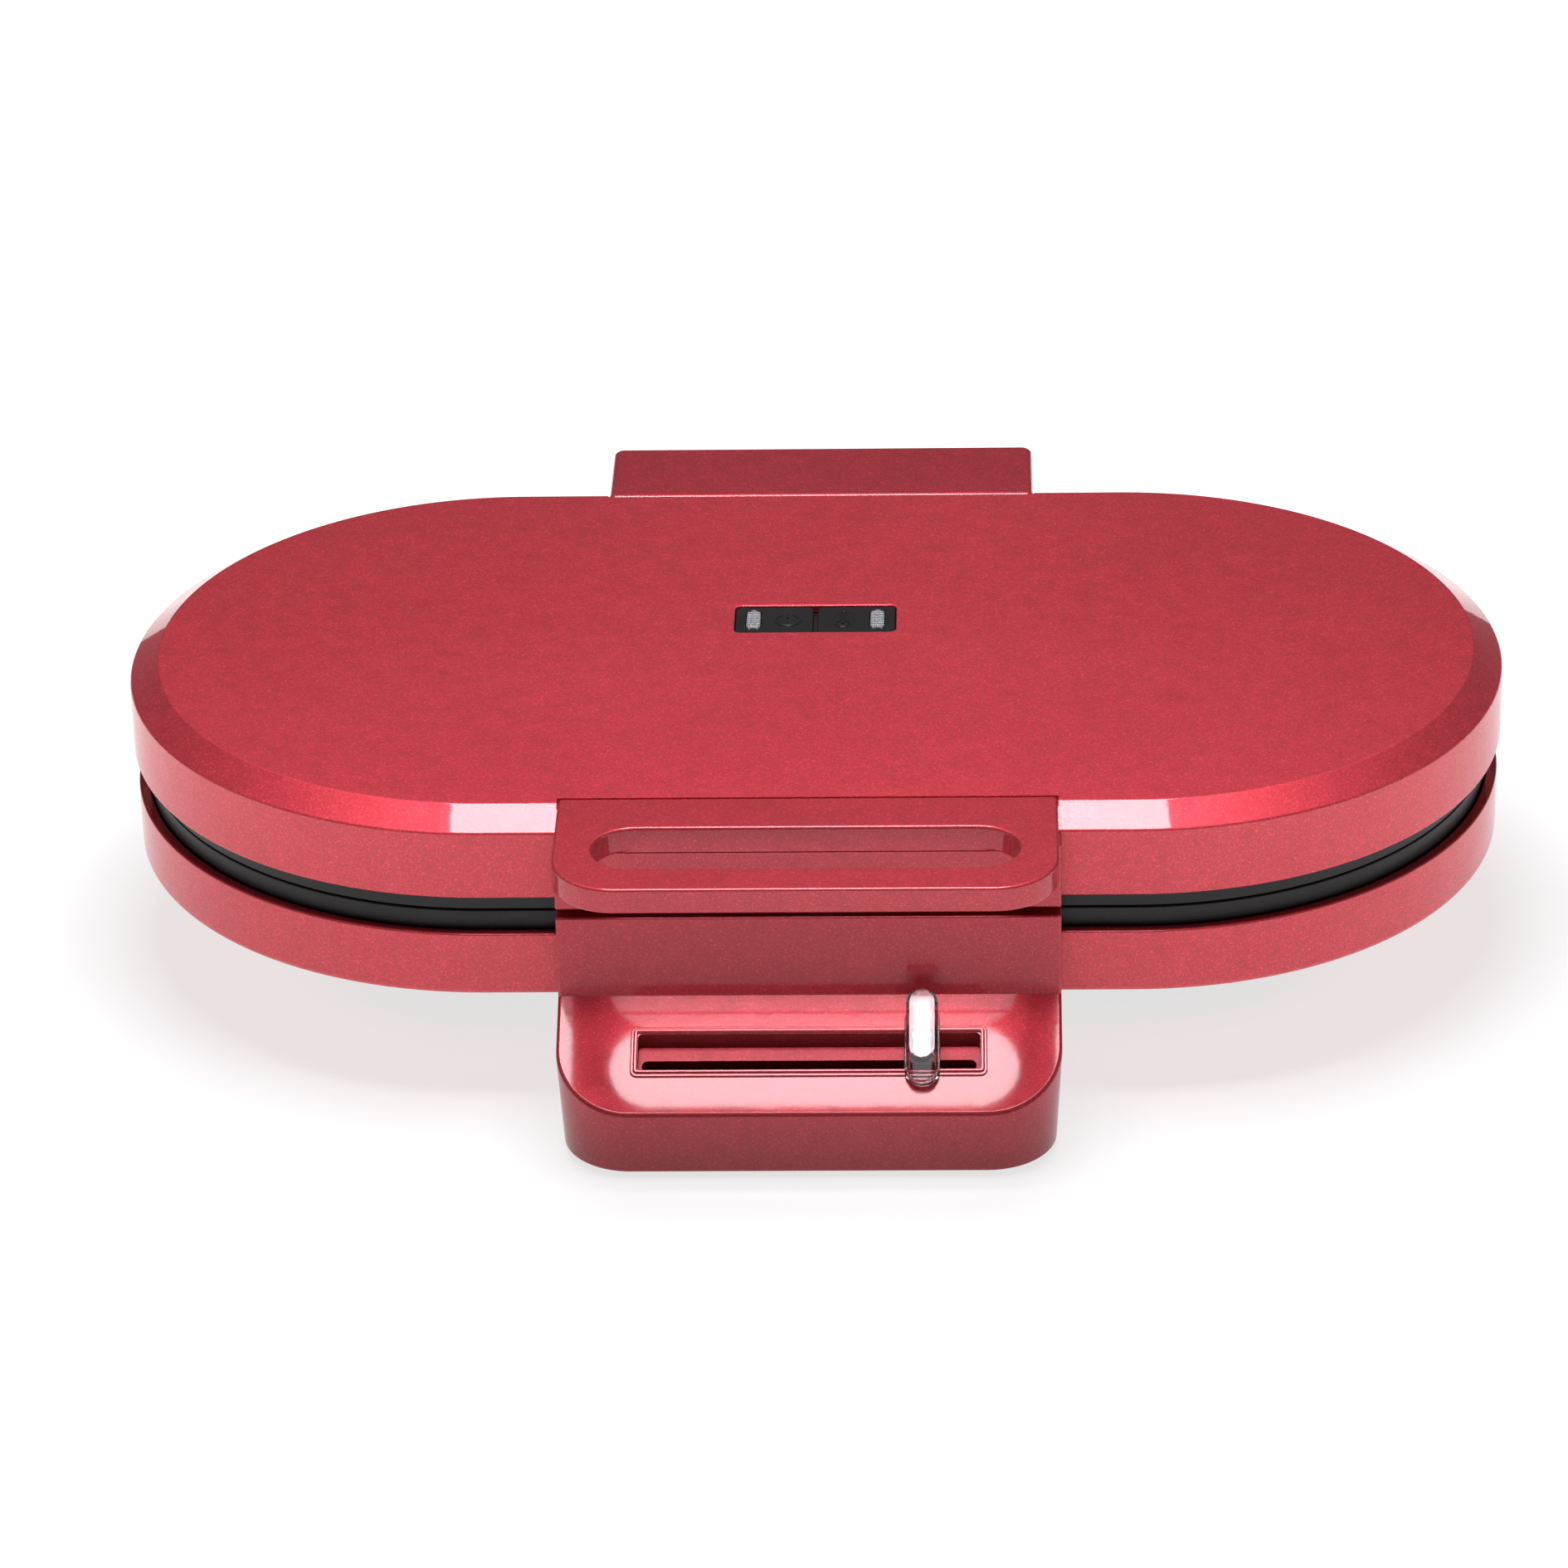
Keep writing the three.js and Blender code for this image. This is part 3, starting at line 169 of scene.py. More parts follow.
def body_outline(steps=72):
    return stadium_x(STRAIGHT, RADIUS, 0, CENTRE_Y, steps)


def inset_loop(loop, distance):
    """Moves a loop towards its left-hand side, with mitred corners."""
    if distance == 0:
        return list(loop)
    moved = []
    count = len(loop)
    for i, (x, y) in enumerate(loop):
        px, py = loop[i - 1]
        nx, ny = loop[(i + 1) % count]
        before = Vector((x - px, y - py)).normalized()
        after = Vector((nx - x, ny - y)).normalized()
        left = Vector((-before.y, before.x))
        bisector = (left + Vector((-after.y, after.x))).normalized()
        reach = distance / max(bisector.dot(left), 0.3)
        moved.append((x + bisector.x * reach, y + bisector.y * reach))
    return moved


def filleted(points, closed=False, steps=5):
    """A profile of (inset, z, fillet radius) corners as a line of (inset, z) points."""
    line = []
    count = len(points)
    for i, (u, z, radius) in enumerate(points):
        if radius == 0 or (not closed and i in (0, count - 1)):
            line.append((u, z))
            continue
        corner = Vector((u, z))
        towards_before = (Vector(points[i - 1][:2]) - corner).normalized()
        towards_after = (Vector(points[(i + 1) % count][:2]) - corner).normalized()
        half = math.acos(max(-1, min(1, towards_before.dot(towards_after)))) / 2
        reach = radius / math.tan(half)
        start = corner + towards_before * reach
        end = corner + towards_after * reach
        centre = corner + (towards_before + towards_after).normalized() * (radius / math.sin(half))
        first, last = start - centre, end - centre
        sweep = first.angle_signed(last)
        for k in range(steps + 1):
            turned = first.copy()
            turned.rotate(Matrix.Rotation(-sweep * k / steps, 2))
            line.append(tuple(centre + turned))
    return line


def box_levels(bottom, top, bottom_edge, top_edge, steps=4, shrink=0.0):
    """Levels of an upright solid with rounded lower and upper edges. Bottom and top are
    heights, or functions of (x, y)."""

    def raised(level, by):
        if callable(level):
            return lambda x, y: level(x, y) + by
        return level + by

    levels = []
    for k in range(steps + 1 if bottom_edge else 1):
        a = math.pi / 2 * k / steps
        inset = shrink + bottom_edge * (1 - math.sin(a))
        levels.append((inset, raised(bottom, bottom_edge * (1 - math.cos(a)))))
    for k in range(steps + 1 if top_edge else 1):
        a = math.pi / 2 * k / steps
        levels.append((top_edge * (1 - math.cos(a)), raised(top, -top_edge * (1 - math.sin(a)))))
    return levels


# ---- Meshes ----------------------------------------------------------------------------------


def object_from(name, verts, faces):
    mesh = bpy.data.meshes.new(name)
    mesh.from_pydata([Vector(v) * MM for v in verts], [], faces)
    mesh.validate()
    made = bpy.data.objects.new(name, mesh)
    bpy.context.scene.collection.objects.link(made)
    return made


def cap(loops, offsets, upward):
    """Triangles that fill loops with holes, or one face for a single loop."""
    if len(loops) == 1:
        face = [offsets[0] + i for i in range(len(loops[0]))]
        return [face if upward else face[::-1]]
    flat = [Vector((x, y, 0)) for loop in loops for x, y in loop]
    index = [offset + i for loop, offset in zip(loops, offsets) for i in range(len(loop))]
    triangles = []
    for a, b, c in tessellate_polygon([[Vector((x, y, 0)) for x, y in loop] for loop in loops]):
        turn = (flat[b] - flat[a]).cross(flat[c] - flat[a]).z
        triangle = [index[a], index[b], index[c]]
        triangles.append(triangle if (turn > 0) == upward else triangle[::-1])
    return triangles


def layered(name, loops, levels, closed=False):
    """A solid whose sides run through the given levels, each (inset, height)."""
    verts, faces, starts = [], [], []
    shapes = []
    for inset, height in levels:
        offsets, moved = [], []
        for loop in loops:
            ring = inset_loop(loop, inset)
            offsets.append(len(verts))
            moved.append(ring)
            verts.extend((x, y, height(x, y) if callable(height) else height) for x, y in ring)
        starts.append(offsets)
        shapes.append(moved)
    count = len(levels)
    for level in range(count if closed else count - 1):
        for number, loop in enumerate(loops):
            lower, upper = starts[level][number], starts[(level + 1) % count][number]
            size = len(loop)
            for i in range(size):
                j = (i + 1) % size
                faces.append([lower + i, lower + j, upper + j, upper + i])
    if not closed:
        faces += cap(shapes[0], starts[0], False)
        faces += cap(shapes[-1], starts[-1], True)
    return object_from(name, verts, faces)


def turned(name, profile, cx, cy, steps=48, axis="z", cz=0.0):
    """A solid turned about an upright axis, or one along y, from a closed (radius, height)
    profile. A point at radius 0 closes the end."""
    verts, faces, rows = [], [], []
    for radius, height in profile:
        row = []
        for i in range(1 if radius == 0 else steps):
            a = 2 * math.pi * i / steps
            u, v = radius * math.cos(a), radius * math.sin(a)
            row.append(len(verts))
            verts.append((cx + u, cy + v, height) if axis == "z" else (cx + u, cy + height, cz - v))
        rows.append(row)
    open_ended = profile[0][0] == 0
    for k in range(len(rows) - 1 if open_ended else len(rows)):
        low, high = rows[k], rows[(k + 1) % len(rows)]
        for i in range(steps):
            j = (i + 1) % steps
            quad = [low[i % len(low)], low[j % len(low)], high[j % len(high)], high[i % len(high)]]
            face = list(dict.fromkeys(quad))
            if len(face) > 2:
                faces.append(face)
    return object_from(name, verts, faces)


def remesh(made):
    """Writes an object's modifiers into its mesh."""
    bpy.context.view_layer.update()
    graph = bpy.context.evaluated_depsgraph_get()
    result = bpy.data.meshes.new_from_object(made.evaluated_get(graph))
    made.modifiers.clear()
    old = made.data
    made.data = result
    bpy.data.meshes.remove(old)


def combine(target, operation, *tools):
    """Joins tools to an object, or cuts them out of it."""
    for tool in tools:
        modifier = target.modifiers.new("combine", "BOOLEAN")
        modifier.operation = operation
        modifier.solver = "EXACT"
        modifier.object = tool
        remesh(target)
        bpy.data.objects.remove(tool)
    return target


def gathered(name, *pieces):
    """Several meshes as one object, without joining their surfaces."""
    built = bmesh.new()
    for piece in pieces:
        built.from_mesh(piece.data)
        bpy.data.objects.remove(piece)
    mesh = bpy.data.meshes.new(name)
    built.to_mesh(mesh)
    built.free()
    made = bpy.data.objects.new(name, mesh)
    bpy.context.scene.collection.objects.link(made)
    return made


def cleaned(made):
    """Merges doubled points and lets each flat region be one face."""
    built = bmesh.new()
    built.from_mesh(made.data)
    bmesh.ops.remove_doubles(built, verts=built.verts, dist=2e-6)
    bmesh.ops.dissolve_degenerate(built, dist=1e-6, edges=built.edges)
    bmesh.ops.dissolve_limit(
        built, angle_limit=math.radians(0.15), verts=built.verts, edges=built.edges, delimit={"NORMAL"}
    )
    bmesh.ops.recalc_face_normals(built, faces=built.faces)
    built.to_mesh(made.data)
    built.free()
    return made


def shaded(made, sharp=32):
    """Smooth shading that keeps flat faces flat and sharp edges sharp."""
    mesh = made.data
    mesh.shade_smooth()
    mesh.set_sharp_from_angle(angle=math.radians(sharp))
    weigh = made.modifiers.new("weigh", "WEIGHTED_NORMAL")
    weigh.mode = "FACE_AREA"
    weigh.weight = 80
    weigh.keep_sharp = True


def piece(made, body, material, slot, *nodes, sharp=32, clean=True):
    """Finishes a mesh as a visible piece that rides on a body and stands for CAD nodes."""
    if clean:
        cleaned(made)
    shaded(made, sharp)
    made.data.materials.clear()
    made.data.materials.append(material)
    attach(made, body)
    if nodes:
        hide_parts(*nodes)
    return made


def block(name, x0, x1, y0, y1, z0, z1, edge=0.0):
    """A box with rounded edges on all sides."""
    corner = edge + 0.05
    return layered(name, [rectangle(x0, x1, y0, y1, corner, corner, 4)], box_levels(z0, z1, edge, edge))


# ---- Material nodes --------------------------------------------------------------------------


class Look:
    """A Principled material and short ways to add nodes to it."""

    def __init__(self, name, **constants):
        self.material = bpy.data.materials.new(name)
        self.material.use_nodes = True
        self.tree = self.material.node_tree
        self.shader = self.tree.nodes["Principled BSDF"]
        for socket, value in constants.items():
            self.shader.inputs[socket.replace("_", " ")].default_value = value
        self.coordinates = self.tree.nodes.new("ShaderNodeTexCoord").outputs["Object"]

    def node(self, kind, settings=None, **inputs):
        made = self.tree.nodes.new(kind)
        for key, value in (settings or {}).items():
            setattr(made, key, value)
        for key, value in inputs.items():
            self.feed(value, made.inputs[key.replace("_", " ")])
        return made

    def feed(self, value, socket):
        if isinstance(value, bpy.types.NodeSocket):
            self.tree.links.new(value, socket)
        else:
            socket.default_value = value

    def stretched(self, scale):
        made = self.node("ShaderNodeMapping", Vector=self.coordinates)
        made.inputs["Scale"].default_value = scale
        return made.outputs["Vector"]

    def noise(self, scale, detail=3.0, roughness=0.55, vector=None):
        made = self.node(
            "ShaderNodeTexNoise",
            Vector=vector or self.coordinates,
            Scale=scale,
            Detail=detail,
            Roughness=roughness,
        )
        return made.outputs["Fac"]

    def cells(self, scale, output="Color"):
        made = self.node("ShaderNodeTexVoronoi", Vector=self.coordinates, Scale=scale)
        return made.outputs[output]

    def between(self, value, low, high, to_low, to_high):
        made = self.node("ShaderNodeMapRange")
        self.feed(value, made.inputs["Value"])
        spans = (("From Min", low), ("From Max", high), ("To Min", to_low), ("To Max", to_high))
        for key, number in spans:
            made.inputs[key].default_value = number
        return made.outputs["Result"]

    def colours(self, value, *stops):
        made = self.node("ShaderNodeValToRGB", Fac=value)
        ramp = made.color_ramp
        while len(ramp.elements) < len(stops):
            ramp.elements.new(0.5)
        for element, (position, colour) in zip(ramp.elements, stops):
            element.position = position
            element.color = (*colour, 1)
        return made.outputs["Color"]

    def mixed(self, factor, first, second, blend="MIX"):
        made = self.tree.nodes.new("ShaderNodeMix")
        made.data_type = "RGBA"
        made.blend_type = blend
        self.feed(factor, made.inputs[0])
        self.feed(first, made.inputs[6])
        self.feed(second, made.inputs[7])
        return made.outputs[2]

    def bump(self, height, strength, distance, normal=None):
        made = self.node("ShaderNodeBump", Height=height, Strength=strength, Distance=distance)
        if normal is not None:
            self.feed(normal, made.inputs["Normal"])
        return made.outputs["Normal"]

    def sets(self, socket, value):
        self.feed(value, self.shader.inputs[socket])
        return self


def pearl_red(name="pearl_red", strength=1.0, foot_strength=None, coat=1.0, coat_roughness=0.045):
    """Pearl paint. Strength scales its colour. Foot_strength darkens it towards the table:
    that shade is painted in, and stays whatever the light is."""
    look = Look(name, Metallic=0.9, Coat_Weight=coat, Coat_Roughness=coat_roughness, Coat_IOR=1.5)
    drift = look.noise(7, 2)
    deep = tuple(c * strength for c in (0.63, 0.056, 0.077))
    light = tuple(c * strength for c in (0.69, 0.066, 0.089))
    base = look.colours(drift, (0.3, deep), (0.7, light))
    if foot_strength is not None:
        height = look.node("ShaderNodeSeparateXYZ", Vector=look.coordinates).outputs["Z"]
        shade = look.between(height, 0.006, 0.034, foot_strength, 1.0)
        grey = look.colours(shade, (0.0, (0, 0, 0)), (1.0, (1, 1, 1)))
        base = look.mixed(1.0, base, grey, "MULTIPLY")
    flake = look.cells(2600)
    grain = look.node("ShaderNodeSeparateColor", Color=flake).outputs[0]
    sparkle = look.colours(
        grain, (0.0, (0.84, 0.80, 0.81)), (0.85, (1.05, 1.02, 1.02)), (1.0, (1.35, 1.4, 1.45))
    )
    colour = look.mixed(1.0, base, sparkle, "MULTIPLY")
    speck = look.between(look.cells(95, "Distance"), 0.028, 0.045, 1.0, 0.0)
    rare = look.between(look.noise(60, 1), 0.70, 0.74, 0.0, 0.5)
    dust = look.node("ShaderNodeMath", {"operation": "MULTIPLY"})
    look.feed(speck, dust.inputs[0])
    look.feed(rare, dust.inputs[1])
    look.sets("Base Color", look.mixed(dust.outputs[0], colour, (0.9, 0.8, 0.8, 1)))
    look.sets("Roughness", look.between(look.noise(160, 2), 0.3, 0.7, 0.57, 0.63))
    look.sets("Normal", look.bump(grain, 0.10, 0.00012))
    peel = look.noise(230, 2, 0.4)
    look.sets("Coat Normal", look.bump(peel, 0.035, 0.0004))
    return look.material


def moulded_black(name, tone=0.014, roughness=0.42, grain_size=1400, depth=0.00006):
    look = Look(name, Specular_IOR_Level=0.45)
    tint = look.noise(40, 4)
    look.sets(
        "Base Color",
        look.colours(tint, (0.3, (tone * 0.85,) * 3), (0.7, (tone * 1.2, tone * 1.22, tone * 1.28))),
    )
    grain = look.noise(grain_size, 3, 0.6)
    look.sets("Roughness", look.between(grain, 0.3, 0.7, roughness - 0.05, roughness + 0.07))
    look.sets("Normal", look.bump(grain, 0.35, depth))
    return look.material


def nonstick():
    look = Look("nonstick_coating", Metallic=0.2)
    streaks = look.noise(90, 4, 0.6, look.stretched((0.5, 0.5, 14)))
    speckle = look.noise(2600, 2)
    colour = look.colours(streaks, (0.3, (0.002, 0.002, 0.0025)), (0.72, (0.007, 0.0072, 0.008)))
    fleck = look.between(speckle, 0.62, 0.75, 0.0, 0.3)
    look.sets("Base Color", look.mixed(fleck, colour, (0.05, 0.05, 0.052, 1)))
    look.sets("Roughness", look.between(streaks, 0.3, 0.7, 0.36, 0.48))
    look.sets("Normal", look.bump(speckle, 0.25, 0.00006))
    return look.material


def brushed_steel(name="brushed_steel", tone=0.56, roughness=0.3):
    look = Look(name, Metallic=1.0)
    streaks = look.noise(150, 5, 0.6, look.stretched((1, 14, 14)))
    dark, bright = (tone * 0.8,) * 3, (tone * 1.1, tone * 1.1, tone * 1.12)
    look.sets("Base Color", look.colours(streaks, (0.3, dark), (0.7, bright)))
    look.sets("Roughness", look.between(streaks, 0.3, 0.7, roughness - 0.08, roughness + 0.1))
    look.sets("Normal", look.bump(streaks, 0.12, 0.0001))
    return look.material


def rubber():
    look = Look("rubber_grip", Specular_IOR_Level=0.3)
    grain = look.noise(900, 5, 0.7)
    look.sets("Base Color", look.colours(grain, (0.3, (0.014, 0.014, 0.015)), (0.8, (0.035, 0.034, 0.033))))
    look.sets("Roughness", look.between(grain, 0.3, 0.7, 0.72, 0.9))
    look.sets("Normal", look.bump(grain, 0.5, 0.0001))
    return look.material


def ceramic():
    look = Look("fired_ceramic")
    clouds = look.noise(220, 5)
    look.sets("Base Color", look.colours(clouds, (0.3, (0.62, 0.57, 0.48)), (0.75, (0.78, 0.74, 0.66))))
    look.sets("Roughness", look.between(clouds, 0.3, 0.7, 0.45, 0.65))
    look.sets("Normal", look.bump(clouds, 0.25, 0.0001))
    return look.material


def circuit_board():
    look = Look("circuit_laminate")
    weave = look.noise(700, 3, 0.5, look.stretched((1, 6, 1)))
    look.sets("Base Color", look.colours(weave, (0.3, (0.28, 0.17, 0.06)), (0.7, (0.36, 0.24, 0.10))))
    look.sets("Roughness", look.between(weave, 0.3, 0.7, 0.4, 0.6))
    return look.material


def clear_plastic(name="clear_acrylic", tint=(0.97, 0.97, 0.98), roughness=0.07, clarity=1.0):
    look = Look(name, Transmission_Weight=clarity, IOR=1.49, Specular_IOR_Level=0.35)
    haze = look.noise(260, 3)
    look.sets("Base Color", look.colours(haze, (0.3, tuple(c * 0.97 for c in tint)), (0.7, tint)))
    look.sets("Roughness", look.between(haze, 0.3, 0.7, roughness - 0.03, roughness + 0.05))
    look.sets("Normal", look.bump(look.noise(420, 2), 0.04, 0.0003))
    return look.material


def lamp_glass():
    look = Look("lamp_glass", Transmission_Weight=0.6, IOR=1.5)
    glow = look.noise(500, 2)
    look.sets("Base Color", look.colours(glow, (0.3, (0.75, 0.40, 0.20)), (0.7, (0.86, 0.55, 0.32))))
    look.sets("Roughness", look.between(glow, 0.3, 0.7, 0.12, 0.25))
    return look.material


def floor_look():
    look = Look("studio_floor", Specular_IOR_Level=0.1, Emission_Strength=1.7)
    spread = look.node("ShaderNodeVectorMath", {"operation": "LENGTH"})
    look.feed(look.coordinates, spread.inputs[0])
    # Emission rises from 0.43 of full within 0.25 m of the origin to full beyond 0.6 m. The dimmer floor
    # round the object is painted shade; further out the floor glows evenly
    glow = look.between(spread.outputs["Value"], 0.25, 0.6, 0.43, 1.0)
    look.sets("Emission Color", look.colours(glow, (0.0, (0, 0, 0)), (1.0, (1, 1, 1))))
    paper = look.noise(14, 2)
    look.sets("Base Color", look.colours(paper, (0.3, (0.27, 0.27, 0.27)), (0.7, (0.29, 0.29, 0.29))))
    look.sets("Roughness", look.between(paper, 0.3, 0.7, 0.85, 0.95))
    return look.material


RED = pearl_red(coat=0.85)  # lid and base
TRIM_RED = pearl_red("pearl_red_trim", 0.78, coat=0.85)  # handle and hinge cover
CONSOLE_RED = pearl_red("pearl_red_console", 0.76, 0.6, 0.7, 0.085)
# Inside of the slider's recess: the red at half strength, which is painted shade in the recess, with a
# thinner and rougher coat
RECESS_SHADE_RED = pearl_red("pearl_red_recess_shade", 0.5, None, 0.12, 0.2)
BLACK = moulded_black("black_plastic_satin")
PANEL_BLACK = moulded_black("panel_plastic", 0.011, 0.30, 900, 0.00003)
NONSTICK = nonstick()
STEEL = brushed_steel()
RUBBER = rubber()
CLEAR = clear_plastic()
LENS = clear_plastic("lens_plastic", (0.26, 0.27, 0.28), 0.16, 0.3)


# ---- Lid -------------------------------------------------------------------------------------


def lid_envelope(name, gap=GAP):
    """The lid's outside grown by a gap, up to the floor of the notches in its top."""
    notch_z = lid_high.z - NOTCH + gap
    run, rise = CHAMFER
    edge_inset = (notch_z - (lid_high.z - rise)) / rise * run - gap * math.hypot(run, rise) / rise
    levels = [
        (-gap, lid_low.z - 12),
        (-gap, lid_high.z - rise),
        (edge_inset, notch_z),
    ]
    return layered(name, [body_outline()], levels)


def lid_top():
    run, rise = CHAMFER
    cap_inset = 26
    top, bottom = lid_high.z, lid_low.z
    profile = filleted(
        [
            (cap_inset, top - ROOF, 0),
            (run + 1.5, top - ROOF, 1.5),
            (WALL, top - rise - 1.2, 2.0),
            (WALL, bottom, 0.5),
            (0, bottom, 0.9),
            (0, top - rise, 1.1),
            (run, top, 1.3),
            (cap_inset, top, 0),
        ]
    )
    made = layered("lid_top", [body_outline()], profile)
    notch_floor = top - NOTCH
    front = handle_high.y + GAP
    handle_half = HANDLE_HALF + GAP
    cover_half = cover_high.x + GAP
    tools = [
        block("notch_front", -handle_half, handle_half, lid_low.y - 5, front, notch_floor, top + 5),
        block("notch_back", -cover_half, cover_half, cover_low.y - GAP, lid_high.y + 5, notch_floor, top + 5),
        layered(
            "window",
            [
                rectangle(
                    -PANEL_HALF[0] - GAP,
                    PANEL_HALF[0] + GAP,
                    PANEL_Y - PANEL_HALF[1] - GAP,
                    PANEL_Y + PANEL_HALF[1] + GAP,
                    2.3,
                    2.3,
                )
            ],
            [
                (0, top - ROOF - 4),
                (0, top - 0.37),
                (-0.62, top),
                (-0.7, top + 4),
            ],
        ),
    ]
    combine(made, "DIFFERENCE", *tools)
    piece(made, "lid", RED, "pearl_red", "lid_shell")


def handle():
    outline = rectangle(
        -HANDLE_HALF, HANDLE_HALF, handle_low.y, handle_high.y, HANDLE_CORNER, 1.4, 20
    )
    slot = hole(stadium_x((SLOT[0] - SLOT[1]) / 2, SLOT[1] / 2, 0, SLOT_Y, 32))
    top = handle_high.z
    bottom = top - HANDLE_THICKNESS
    made = layered("handle", [outline, slot], box_levels(bottom, top, 1.0, 0.9, 5))
    back = lid_low.y + 1
    face = BLOCK_FRONT - APART
    brow = block(
        "handle_block", handle_low.x, handle_high.x, face, back, handle_low.z, bottom + 1.6, 0.7
    )
    combine(made, "UNION", brow)
    seam_half, seam_height = SLOT[0] / 2, 0.35
    seam = block(
        "seam", -seam_half, seam_half, BLOCK_FRONT - 1, BLOCK_FRONT + 0.3, bottom - seam_height, bottom
    )
    combine(made, "DIFFERENCE", lid_envelope("lid_room"), seam)
    piece(made, "lid", TRIM_RED, "pearl_red", "lid_handle")


def rear_cover():
    outline = rectangle(cover_low.x, cover_high.x, cover_low.y, cover_high.y, 2.0, 3.4, 12)
    made = layered("rear_cover", [outline], box_levels(cover_low.z, cover_high.z, 0.6, 1.7, 6))
    inside = block(
        "rear_cover_inside",
        cover_low.x + ROOF,
        cover_high.x - ROOF,
        lid_high.y + GAP + ROOF,
        cover_high.y - ROOF,
        cover_low.z - 5,
        cover_high.z - ROOF,
        1.0,
    )
    combine(made, "DIFFERENCE", inside, lid_envelope("lid_room"))
    piece(made, "lid", TRIM_RED, "pearl_red", "hinge_cover")


def indicator_window():
    face = panel_high.z
    half_x, half_y = PANEL_HALF
    room = (LENS_WIDTH + 2 * GAP, LENS_LENGTH + 2 * GAP)
    parts = []
    for side in (-1, 1):
        groove_half = 0.7
        x0, x1 = sorted((side * groove_half, side * half_x))
        outline = rectangle(x0, x1, PANEL_Y - half_y, PANEL_Y + half_y, 1.8, 1.8)
        lens_room = hole(stadium_y(*room, side * LENS_X, PANEL_Y))
        parts.append(layered("half", [outline, lens_room], box_levels(face - 3.2, face, 0, 0.45)))
    rooms = [hole(stadium_y(*room, side * LENS_X, PANEL_Y)) for side in (-1, 1)]
    back = rectangle(panel_low.x, panel_high.x, panel_low.y, panel_high.y, 1.0, 1.0)
    parts.append(layered("back", [back, *rooms], box_levels(face - 3.9, face - 2.3, 0, 0.2)))
    made = gathered("indicator_window", *parts)
    piece(made, "lid", PANEL_BLACK, "black_plastic", "indicator_panel")


def ribbed_lens(name, node):
    low, high = extent(node)
    cx = (low.x + high.x) / 2
    cy = (low.y + high.y) / 2
    radius = (high.x - low.x) / 2
    half = (high.y - low.y) / 2
    ribs, rib_depth = 10, 0.5
    steps = ribs * 8
    verts, faces = [], []
    for i in range(steps + 1):
        y = -half + 2 * half * i / steps
        past = max(0.0, abs(y) - (half - radius))
        width = math.sqrt(max(radius * radius - past * past, 0.01))
        wave = 0.5 + 0.5 * math.cos(2 * math.pi * ribs * i / steps)
        top = high.z - rib_depth * (1 - wave) ** 1.5
        shoulder = top - 0.25
        bevel = 0.3
        section = (
            (-width, low.z),
            (-width, shoulder),
            (-width + bevel, top),
            (width - bevel, top),
            (width, shoulder),
            (width, low.z),
        )
        for x, z in section:
            verts.append((cx + (x if abs(x) <= width else 0), cy + y, z))
    corners = 6
    for i in range(steps):
        for k in range(corners):
            a, b = i * corners + k, i * corners + (k + 1) % corners
            faces.append([a, b, b + corners, a + corners])
    faces.append(list(range(corners))[::-1])
    faces.append([steps * corners + k for k in range(corners)])
    made = object_from(name, verts, faces)
    piece(made, "lid", LENS, "clear_plastic", node, sharp=50, clean=False)
    turned_outward(made)


def turned_outward(made):
    built = bmesh.new()
    built.from_mesh(made.data)
    bmesh.ops.recalc_face_normals(built, faces=built.faces)
    built.to_mesh(made.data)
    built.free()


def tube(name, points, radius, z, closed=False):
    """A thin raised line, as a round bar half sunk into the face."""
    curve = bpy.data.curves.new(name, "CURVE")
    curve.dimensions = "3D"
    curve.bevel_depth = radius * MM
    curve.bevel_resolution = 3
    curve.use_fill_caps = True
    line = curve.splines.new("POLY")
    line.points.add(len(points) - 1)
    for point, (x, y) in zip(line.points, points):
        point.co = (x * MM, y * MM, z * MM, 1)
    line.use_cyclic_u = closed
    made = bpy.data.objects.new(name, curve)
    bpy.context.scene.collection.objects.link(made)
    bpy.context.view_layer.update()
    graph = bpy.context.evaluated_depsgraph_get()
    mesh = bpy.data.meshes.new_from_object(made.evaluated_get(graph))
    bpy.data.objects.remove(made)
    weld = bmesh.new()
    weld.from_mesh(mesh)
    bmesh.ops.remove_doubles(weld, verts=weld.verts, dist=0.001 * MM)
    weld.to_mesh(mesh)
    weld.free()
    result = bpy.data.objects.new(name, mesh)
    bpy.context.scene.collection.objects.link(result)
    return result


def symbols():
    z = panel_high.z + 0.02
    cx = -8.2
    ring = arc(cx, PANEL_Y - 0.3, 3.6, 118, 422, 30)
    bar = [(cx, PANEL_Y + 1.0), (cx, PANEL_Y + 4.8)]
    power = gathered("power_symbol", tube("ring", ring, 0.32, z), tube("bar", bar, 0.32, z))
    cx = 8.1
    stem = 0.85
    glass = [(cx - stem, PANEL_Y - 1.0)] + arc(cx, PANEL_Y + 4.4, stem, 180, 0, 10)
    glass += [(cx + stem, PANEL_Y - 1.0)] + arc(cx, PANEL_Y - 2.9, 2.1, 62, -242, 24)
    liquid = [(cx, PANEL_Y - 2.9), (cx, PANEL_Y + 2.2)]
    heat = gathered("heat_symbol", tube("glass", glass, 0.28, z, True), tube("liquid", liquid, 0.28, z))
    for made in (power, heat):
        piece(made, "lid", PANEL_BLACK, "black_plastic", sharp=60, clean=False)


# ---- Plates ----------------------------------------------------------------------------------


def mould_loops(radius, steps):
    return [
        circle(x, CENTRE_Y + side * MOULD_DY, radius, steps) for x in MOULD_XS for side in (-1, 1)
    ]


